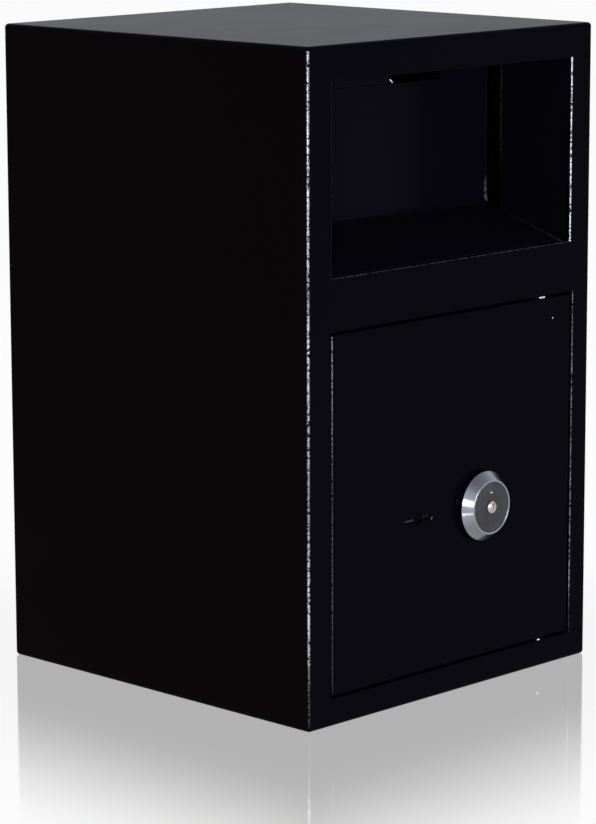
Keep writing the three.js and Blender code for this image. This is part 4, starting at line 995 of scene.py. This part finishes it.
def makeRoundParts():
    bolt, pivot, hinge = turnedParts["bolt"], turnedParts["pivot"], turnedParts["hinge"]
    ringEdge, rodEdge = turnedParts["ringEdge"], turnedParts["rodEdge"]
    turnedRow("roundBolts", ["bolt_lower", "bolt_upper"], "+x",
              rodCorners(bolt["radius"], 0, spanOf("bolt_lower", 0)), bolt["edge"], 64)
    turnedRow("pivotPins", ["pivot_pin_lower", "pivot_pin_upper"], "+z",
              rodCorners(pivot["pin"], 0, spanOf("pivot_pin_lower", 2)), rodEdge)
    turnedRow("pivotBushes", ["pivot_bush_lower", "pivot_bush_upper"], "+z",
              ringCorners(pivot["bore"], pivot["bush"], spanOf("pivot_bush_lower", 2)), ringEdge)
    turnedRow("thrustWashers", ["thrust_washer_lower", "thrust_washer_upper"], "+z",
              ringCorners(pivot["bore"], pivot["washer"], spanOf("thrust_washer_lower", 2)), ringEdge, 64)
    turnedRow("rodClips", ["rod_clip_left", "rod_clip_right"], "+x",
              ringCorners(hinge["bore"], hinge["clip"], spanOf("rod_clip_left", 0)), ringEdge)
    turnedRow("scoopHingeRod", ["scoop_hinge_rod"], "+x",
              rodCorners(hinge["rod"], 0, spanOf("scoop_hinge_rod", 0)), rodEdge)
    turnedRow("leverPivot", ["lever_pivot"], "+y",
              rodCorners(spanOf("lever_pivot", 0) / 2, 0, spanOf("lever_pivot", 1)), ringEdge, 28)
    size = turnedParts["spindle"]
    radius, collar, thick = size["radius"], size["collar"], size["collarThick"]
    long = spanOf("knob_spindle", 1)
    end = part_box("spindle_bush")[1].y + size["collarGap"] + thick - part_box("knob_spindle")[0].y
    turnedRow("knobSpindle", ["knob_spindle"], "+y", [
        (0, 0), (radius, 0), (radius, end - thick), (collar, end - thick), (collar, end), (radius, end),
        (radius, long), (0, long)], ringEdge, 56)
    bore, bush, flange, long = size["bushBore"], size["bush"], size["flange"], spanOf("spindle_bush", 1)
    seat = long - size["flangeThick"]
    turnedRow("spindleBush", ["spindle_bush"], "+y", [
        (bore, long / 2), (bore, 0), (bush, 0), (bush, seat), (flange, seat), (flange, long), (bore, long),
        (bore, long / 2)], ringEdge, 56)


shim = {"upperWide": 5.2 * mm, "lowerWide": 2.4 * mm, "leftOfPivot": 3.2 * mm, "behindFront": 0.1 * mm,
        "below": 0.3 * mm, "above": 0.2 * mm, "overlap": 0.5 * mm, "edge": 0.2 * mm}


# The ends of the pivots' shims, which shine in the gap above and below the door
def makeShimTabs():
    for name, washer, wide in (("shimTabUpper", "thrust_washer_upper", shim["upperWide"]),
                               ("shimTabLower", "thrust_washer_lower", shim["lowerWide"])):
        low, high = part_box(washer)
        x = (low.x + high.x) / 2 - shim["leftOfPivot"]
        mesh = boxMesh((x - wide / 2, frontLow.y + shim["behindFront"], low.z - shim["below"]),
                       (x + wide / 2, low.y + shim["overlap"], high.z + shim["above"]))
        roundEdges(mesh, mesh.edges, shim["edge"], 3)
        rideWith(settle(toObject(name, mesh, brightZinc)), washer)


makeScrews()
makeRoundParts()
makeShimTabs()
print("screws, bolts, pivots and other turned parts made")


# Geometry Nodes: the scoop's return spring, a wire with a straight tail, a coil and a straight leg
def springTree():
    tree, given = newTree("returnSpring", {
        "Wire Radius": "Float", "Coil Radius": "Float", "Coil Width": "Float", "Sweep": "Float",
        "Tail Length": "Float", "Leg Length": "Float", "From": "Float", "To": "Float", "Steps": "Int",
        "Finish": "Material"})
    chain = addNode(tree, "GeometryNodeMeshLine", {"Count": given["Steps"]})
    index = addNode(tree, "GeometryNodeInputIndex")
    last = addNode(tree, "ShaderNodeMath", {"operation": "SUBTRACT", 0: given["Steps"], 1: 1.0})
    share = addNode(tree, "ShaderNodeMath", {"operation": "DIVIDE", 0: index, 1: last})
    coil = addNode(tree, "ShaderNodeMath", {
        "operation": "MULTIPLY", 0: given["Coil Radius"], 1: given["Sweep"]})
    ends = addNode(tree, "ShaderNodeMath", {
        "operation": "ADD", 0: given["Tail Length"], 1: given["Leg Length"]})
    whole = addNode(tree, "ShaderNodeMath", {"operation": "ADD", 0: coil, 1: ends})
    part = addNode(tree, "ShaderNodeMapRange", {
        "Value": share, "To Min": given["From"], "To Max": given["To"]})
    reach = addNode(tree, "ShaderNodeMath", {"operation": "MULTIPLY", 0: part, 1: whole})
    past = addNode(tree, "ShaderNodeMath", {"operation": "SUBTRACT", 0: reach, 1: given["Tail Length"]})
    turned = addNode(tree, "ShaderNodeMath", {"operation": "DIVIDE", "use_clamp": True, 0: past, 1: coil})
    angle = addNode(tree, "ShaderNodeMath", {"operation": "MULTIPLY", 0: turned, 1: given["Sweep"]})
    sine = addNode(tree, "ShaderNodeMath", {"operation": "SINE", 0: angle})
    cosine = addNode(tree, "ShaderNodeMath", {"operation": "COSINE", 0: angle})
    beyond = addNode(tree, "ShaderNodeMath", {"operation": "SUBTRACT", 0: past, 1: coil})
    down = addNode(tree, "ShaderNodeMath", {"operation": "MAXIMUM", 0: beyond, 1: 0.0})
    before = addNode(tree, "ShaderNodeMath", {"operation": "MULTIPLY", 0: past, 1: -1.0})
    up = addNode(tree, "ShaderNodeMath", {"operation": "MAXIMUM", 0: before, 1: 0.0})
    middle = addNode(tree, "ShaderNodeMath", {"operation": "SUBTRACT", 0: turned, 1: 0.5})
    across = addNode(tree, "ShaderNodeMath", {"operation": "MULTIPLY", 0: middle, 1: given["Coil Width"]})
    radial = addNode(tree, "ShaderNodeCombineXYZ", {"Y": cosine, "Z": sine})
    flipped = addNode(tree, "ShaderNodeVectorMath", {"operation": "MULTIPLY", 0: radial, 1: (1, 1, -1)})
    coiled = addNode(tree, "ShaderNodeVectorMath", {
        "operation": "SCALE", 0: flipped, "Scale": given["Coil Radius"]})
    tangent = addNode(tree, "ShaderNodeCombineXYZ", {"Y": sine, "Z": cosine})
    turnedLeg = addNode(tree, "ShaderNodeVectorMath", {"operation": "MULTIPLY", 0: tangent, 1: (1, -1, -1)})
    leg = addNode(tree, "ShaderNodeVectorMath", {"operation": "SCALE", 0: turnedLeg, "Scale": down})
    along = addNode(tree, "ShaderNodeCombineXYZ", {"X": across, "Z": up})
    first = addNode(tree, "ShaderNodeVectorMath", {"operation": "ADD", 0: coiled, 1: leg})
    at = addNode(tree, "ShaderNodeVectorMath", {"operation": "ADD", 0: first, 1: along})
    bent = addNode(tree, "GeometryNodeSetPosition", {"Geometry": chain, "Position": at})
    line = addNode(tree, "GeometryNodeMeshToCurve", {"Mesh": bent})
    ring = addNode(tree, "GeometryNodeCurvePrimitiveCircle", {
        "Resolution": 12, "Radius": given["Wire Radius"]})
    wire = addNode(tree, "GeometryNodeCurveToMesh", {
        "Fill Caps": True, "Curve": line, "Profile Curve": ring})
    placed = addNode(tree, "GeometryNodeInstanceOnPoints", {"Points": given["Geometry"], "Instance": wire})
    finishTree(tree, placed, given["Finish"])
    return tree


# The coil stays on the hinge, and the leg with a last arc of the coil turns with the scoop
spring = {"wire": 0.7 * mm, "coil": 4.6 * mm, "pitch": 2.4 * mm, "turns": 14, "leg": 26 * mm,
          "tail": 14 * mm, "steps": 720, "legSteps": 60, "panelBack": 3 * mm, "gap": 0.3 * mm,
          "sharedArc": 75}


def makeSpring():
    lean = math.asin(-(spring["wire"] + spring["gap"] - spring["panelBack"])
                     / math.hypot(spring["leg"], spring["coil"]))
    lean += math.atan(spring["coil"] / spring["leg"])
    sweep = 2 * math.pi * spring["turns"] + lean
    whole = spring["tail"] + spring["leg"] + spring["coil"] * sweep
    coilEnd = 1 - spring["leg"] / whole
    legStart = coilEnd - math.radians(spring["sharedArc"]) * spring["coil"] / whole
    tree = springTree()
    made = []
    for name, start, end, steps in (("scoopReturnSpring", 0.0, coilEnd, spring["steps"]),
                                    ("returnSpringLeg", legStart, 1.0, spring["legSteps"])):
        made.append(grow(name, tree, [middleOf("scoop_hinge_rod")], {
            "Wire Radius": spring["wire"], "Coil Radius": spring["coil"],
            "Coil Width": spring["pitch"] * spring["turns"], "Sweep": sweep, "Tail Length": spring["tail"],
            "Leg Length": spring["leg"], "From": start, "To": end, "Steps": steps, "Finish": springWire,
        }, smoothAngle=60))
    standFor(made[0], "scoop_return_spring")
    rideWith(made[1], "deposit_scoop")


makeSpring()
print("return spring made")


# A CAD piece's own form, as whole faces
def refinedMesh(node):
    mesh = bmesh.new()
    mesh.from_mesh(nodes[node].data)
    bmesh.ops.remove_doubles(mesh, verts=mesh.verts, dist=2e-6)
    bmesh.ops.dissolve_limit(mesh, angle_limit=math.radians(0.5), verts=mesh.verts, edges=mesh.edges)
    return mesh


def refine(node, edge):
    words = node.split("_")
    name = words[0] + "".join(word.capitalize() for word in words[1:])
    piece = toObject(name, refinedMesh(node), finishOf[node])
    breakEdges(piece, edge, 40)
    standFor(settle(piece, 35), node)


# Pressed, milled and cast pieces that keep the CAD's form, and how far their edges are broken
refined = {
    "door_stop_angle": 0.4, "pivot_bracket_lower": 0.4, "pivot_bracket_upper": 0.4, "hinge_stile": 0.5,
    "scoop_hinge_bracket": 0.3, "bolt_guide_lower": 0.4, "bolt_guide_upper": 0.4, "mechanism_cover": 0.4,
    "bolt_bar": 0.3, "lock_case": 0.3, "lock_cap": 0.3, "lock_bolt": 0.2, "drive_crank": 0.3,
}
for node, edge in refined.items():
    refine(node, edge * mm)


# Geometry Nodes: copies of the piece itself, a step apart
def stackTree():
    tree, given = newTree("stack", {"Copies": "Int", "Step": "Vector", "Finish": "Material"})
    places = addNode(tree, "GeometryNodeMeshLine", {"Count": given["Copies"], "Offset": given["Step"]})
    placed = addNode(tree, "GeometryNodeInstanceOnPoints", {
        "Points": places, "Instance": given["Geometry"]})
    finishTree(tree, placed, given["Finish"])
    return tree


levers = {"copies": 3, "edge": 0.12 * mm}


def makeLevers():
    piece = toObject("leverStack", refinedMesh("lever_1"))
    breakEdges(piece, levers["edge"], 40)
    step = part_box("lever_2")[0].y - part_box("lever_1")[0].y
    useTree(piece, stackTree(), {"Copies": levers["copies"], "Step": (0, step, 0), "Finish": drawnBrass})
    standFor(settle(piece), "lever_1", "lever_2", "lever_3")


makeLevers()
print("lock, bolt work and brackets refined")


# Geometry Nodes: weld beads, flattened drops that overlap along each stitch
def stitchTree():
    tree, given = newTree("weldStitch", {"Bead Step": "Float", "Bead Radius": "Float",
                                         "Unevenness": "Float", "Seed": "Int", "Finish": "Material"})
    line = addNode(tree, "GeometryNodeMeshToCurve", {"Mesh": given["Geometry"]})
    steps = addNode(tree, "GeometryNodeResampleCurve", {
        "mode": "LENGTH", "Curve": line, "Length": given["Bead Step"]})
    drop = addNode(tree, "GeometryNodeMeshUVSphere", {
        "Segments": 10, "Rings": 6, "Radius": given["Bead Radius"]})
    least = addNode(tree, "ShaderNodeMath", {"operation": "SUBTRACT", 0: 1.0, 1: given["Unevenness"]})
    most = addNode(tree, "ShaderNodeMath", {"operation": "ADD", 0: 1.0, 1: given["Unevenness"]})
    size = addNode(tree, "FunctionNodeRandomValue", {
        "data_type": "FLOAT", 2: least, 3: most, "Seed": given["Seed"]})
    scale = addNode(tree, "ShaderNodeCombineXYZ", {
        "X": size.outputs[1], "Y": size.outputs[1], "Z": size.outputs[1]})
    placed = addNode(tree, "GeometryNodeInstanceOnPoints", {
        "Points": steps, "Instance": drop, "Scale": scale})
    finishTree(tree, placed, given["Finish"])
    return tree


weld = {"step": 1.5 * mm, "radius": 1.7 * mm, "uneven": 0.14, "seed": 7, "long": 26 * mm, "inset": 0.2 * mm,
        "backCorners": (70 * mm, 205 * mm, 335 * mm), "sides": (-40 * mm, 70 * mm),
        "frontCorner": (60 * mm, 150 * mm), "across": (-60 * mm, 60 * mm)}


def makeWelds():
    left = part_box("left_side_panel")[1].x + weld["inset"]
    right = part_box("right_side_panel")[0].x - weld["inset"]
    front, back = frontHigh.y + weld["inset"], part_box("back_panel")[0].y - weld["inset"]
    floor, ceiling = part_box("base_panel")[1].z + weld["inset"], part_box("top_panel")[0].z - weld["inset"]
    points, lines = [], []

    def stitch(at, axis):
        for side in (-0.5, 0.5):
            point = Vector(at)
            point[axis] += side * weld["long"]
            points.append(point)
        lines.append((len(points) - 2, len(points) - 1))

    for x in (left, right):
        for z in weld["backCorners"]:
            stitch((x, back, z), 2)
        for y in weld["sides"]:
            stitch((x, y, floor), 1)
            stitch((x, y, ceiling), 1)
    for z in weld["frontCorner"]:
        stitch((right, front, z), 2)
    for x in weld["across"]:
        stitch((x, back, floor), 0)
        stitch((x, back, ceiling), 0)
        stitch((x, front, floor), 0)
    piece = grow("seamWelds", stitchTree(), points, {
        "Bead Step": weld["step"], "Bead Radius": weld["radius"], "Unevenness": weld["uneven"],
        "Seed": weld["seed"], "Finish": satinEnamel}, lines, smoothAngle=70)
    rideWith(piece, "front_frame")


makeWelds()
print("weld stitches made")

# The floor mirrors most at the box's foot and nothing past mirrorFar. The room is white to the camera, and
# gloss shows it with a grey wall up to wallTop and a ceiling that falls off to grey
studio = {
    "floorSpan": 14.0, "floorTone": "#e8e8e8", "mattShare": 0.05, "mirror": 0.54, "mirrorTone": "#fffbf4",
    "mirrorRoughness": 0.06, "mirrorNear": 0.055, "mirrorFar": 0.255, "roomTint": "#f0f3fb",
    "roomLight": 0.34, "wallTone": 0.42, "wallTop": (0.11, 0.21), "ceilingTone": 0.42,
    "ceilingFrom": (0.5, 0.9), "lampsAim": (0, 0, 0.2),
}


def seenRays(tree):
    path = addNode(tree, "ShaderNodeLightPath")
    first = addNode(tree, "ShaderNodeMath", {
        "operation": "MAXIMUM", 0: path.outputs["Is Camera Ray"], 1: path.outputs["Is Glossy Ray"]})
    return addNode(tree, "ShaderNodeMath", {
        "operation": "MAXIMUM", 0: first, 1: path.outputs["Is Transmission Ray"]})


def makeFloor():
    # Pale studio floor: matt white that mirrors the box near its foot, and less further out
    material, tree, place = newMaterial("paleStudioFloor")
    split = addNode(tree, "ShaderNodeSeparateXYZ", {"Vector": place})
    spans = []
    for axis, half in (("X", boxHigh.x), ("Y", boxHigh.y)):
        away = addNode(tree, "ShaderNodeMath", {"operation": "ABSOLUTE", 0: split.outputs[axis]})
        spans.append(addNode(tree, "ShaderNodeMath", {"operation": "SUBTRACT", 0: away, 1: half}))
    span = addNode(tree, "ShaderNodeMath", {"operation": "MAXIMUM", 0: spans[0], 1: spans[1]})
    fade = addNode(tree, "ShaderNodeMapRange", {
        "interpolation_type": "SMOOTHSTEP", "From Min": studio["mirrorNear"],
        "From Max": studio["mirrorFar"], "To Min": studio["mirror"], "To Max": 0.0, "Value": span})
    matt = addNode(tree, "ShaderNodeBsdfDiffuse", {"Color": linear(studio["floorTone"])})
    glow = addNode(tree, "ShaderNodeEmission", {"Color": (1, 1, 1, 1), "Strength": seenRays(tree)})
    pale = addNode(tree, "ShaderNodeMixShader", {0: 1 - studio["mattShare"], 1: matt, 2: glow})
    mirror = addNode(tree, "ShaderNodeBsdfGlossy", {
        "Color": linear(studio["mirrorTone"]), "Roughness": studio["mirrorRoughness"]})
    finishMaterial(tree, addNode(tree, "ShaderNodeMixShader", {0: fade, 1: pale, 2: mirror}))
    mesh = bmesh.new()
    bmesh.ops.create_circle(mesh, cap_ends=True, segments=96, radius=studio["floorSpan"])
    floor = toObject("studioFloor", mesh, material)


def makeWorld():
    world = bpy.data.worlds.new("studioRoom")
    bpy.context.scene.world = world
    world.use_nodes = True
    tree = world.node_tree
    tree.nodes.clear()
    place = addNode(tree, "ShaderNodeTexCoord").outputs["Generated"]
    split = addNode(tree, "ShaderNodeSeparateXYZ", {"Vector": place})
    shades = []
    for (start, end), below, above in ((studio["wallTop"], studio["wallTone"], 1.0),
                                       (studio["ceilingFrom"], 1.0, studio["ceilingTone"])):
        shades.append(addNode(tree, "ShaderNodeMapRange", {
            "interpolation_type": "SMOOTHSTEP", "From Min": start, "From Max": end, "To Min": below,
            "To Max": above, "Value": split.outputs["Z"]}))
    room = addNode(tree, "ShaderNodeMath", {"operation": "MULTIPLY", 0: shades[0], 1: shades[1]})
    path = addNode(tree, "ShaderNodeLightPath")
    seen = addNode(tree, "ShaderNodeMath", {
        "operation": "MAXIMUM", 0: room, 1: path.outputs["Is Camera Ray"]})
    level = addNode(tree, "ShaderNodeMix", {
        "data_type": "FLOAT", 2: studio["roomLight"], 0: seenRays(tree), 3: seen})
    tint = addNode(tree, "ShaderNodeMix", {
        "data_type": "RGBA", 6: linear(studio["roomTint"]), 7: (1, 1, 1, 1),
        0: path.outputs["Is Camera Ray"]})
    light = addNode(tree, "ShaderNodeBackground", {"Color": tint.outputs[2], "Strength": level})
    addNode(tree, "ShaderNodeOutputWorld", {"Surface": light})


lamps = {
    "keyBox": {"at": (-1.35, -1.25, 0.42), "size": (0.3, 0.4), "power": 12, "tint": "#ffffff"},
    "frontBox": {"at": (0.15, -1.95, 0.4), "size": (0.6, 0.6), "power": 16, "tint": "#e6ebff"},
    "leftBox": {"at": (-1.8, 0.5, 0.9), "size": (0.6, 0.9), "power": 8, "tint": "#ffdcc4"},
    "topBox": {"at": (0.1, 0.4, 1.7), "size": (0.9, 0.9), "power": 8, "tint": "#ffffff"},
}


# Soft boxes, each turned to the middle of the object
def makeLamps():
    for name, lamp in lamps.items():
        light = bpy.data.lights.new(name, "AREA")
        light.shape = "RECTANGLE"
        light.size, light.size_y = lamp["size"]
        light.energy = lamp["power"]
        light.color = linear(lamp["tint"])[:3]
        item = bpy.data.objects.new(name, light)
        item.location = lamp["at"]
        aim = Vector(studio["lampsAim"]) - Vector(lamp["at"])
        item.rotation_euler = aim.to_track_quat("-Z", "Y").to_euler()
        bpy.context.scene.collection.objects.link(item)


# The place was fitted to seven corners of the box in the picture: angles in degrees, lengths in metres
cameraPlace = {"azimuth": -45.79, "elevation": 10.88, "roll": -0.153, "away": 2.1152, "right": -0.0005,
               "up": -0.0427, "lens": 147.8, "sensor": 36, "farthest": 60}


def makeCamera():
    a, e, r = [math.radians(cameraPlace[turn]) for turn in ("azimuth", "elevation", "roll")]
    back = Vector((math.sin(a) * math.cos(e), -math.cos(a) * math.cos(e), math.sin(e)))
    right = Vector((math.cos(a), math.sin(a), 0))
    up = back.cross(right)
    right, up = math.cos(r) * right + math.sin(r) * up, math.cos(r) * up - math.sin(r) * right
    middle = Vector((0, 0, frontHigh.z / 2))
    eye = middle + back * cameraPlace["away"] + right * cameraPlace["right"] + up * cameraPlace["up"]
    data = bpy.data.cameras.new("studioCamera")
    data.lens = cameraPlace["lens"]
    data.sensor_width = cameraPlace["sensor"]
    data.clip_end = cameraPlace["farthest"]
    camera = bpy.data.objects.new("studioCamera", data)
    turn = Matrix((right, up, back)).transposed().to_4x4()
    camera.matrix_world = Matrix.Translation(eye) @ turn
    bpy.context.scene.collection.objects.link(camera)
    bpy.context.scene.camera = camera


makeFloor()
makeWorld()
makeLamps()
makeCamera()
bpy.context.scene.view_settings.view_transform = "Standard"
print("studio made")
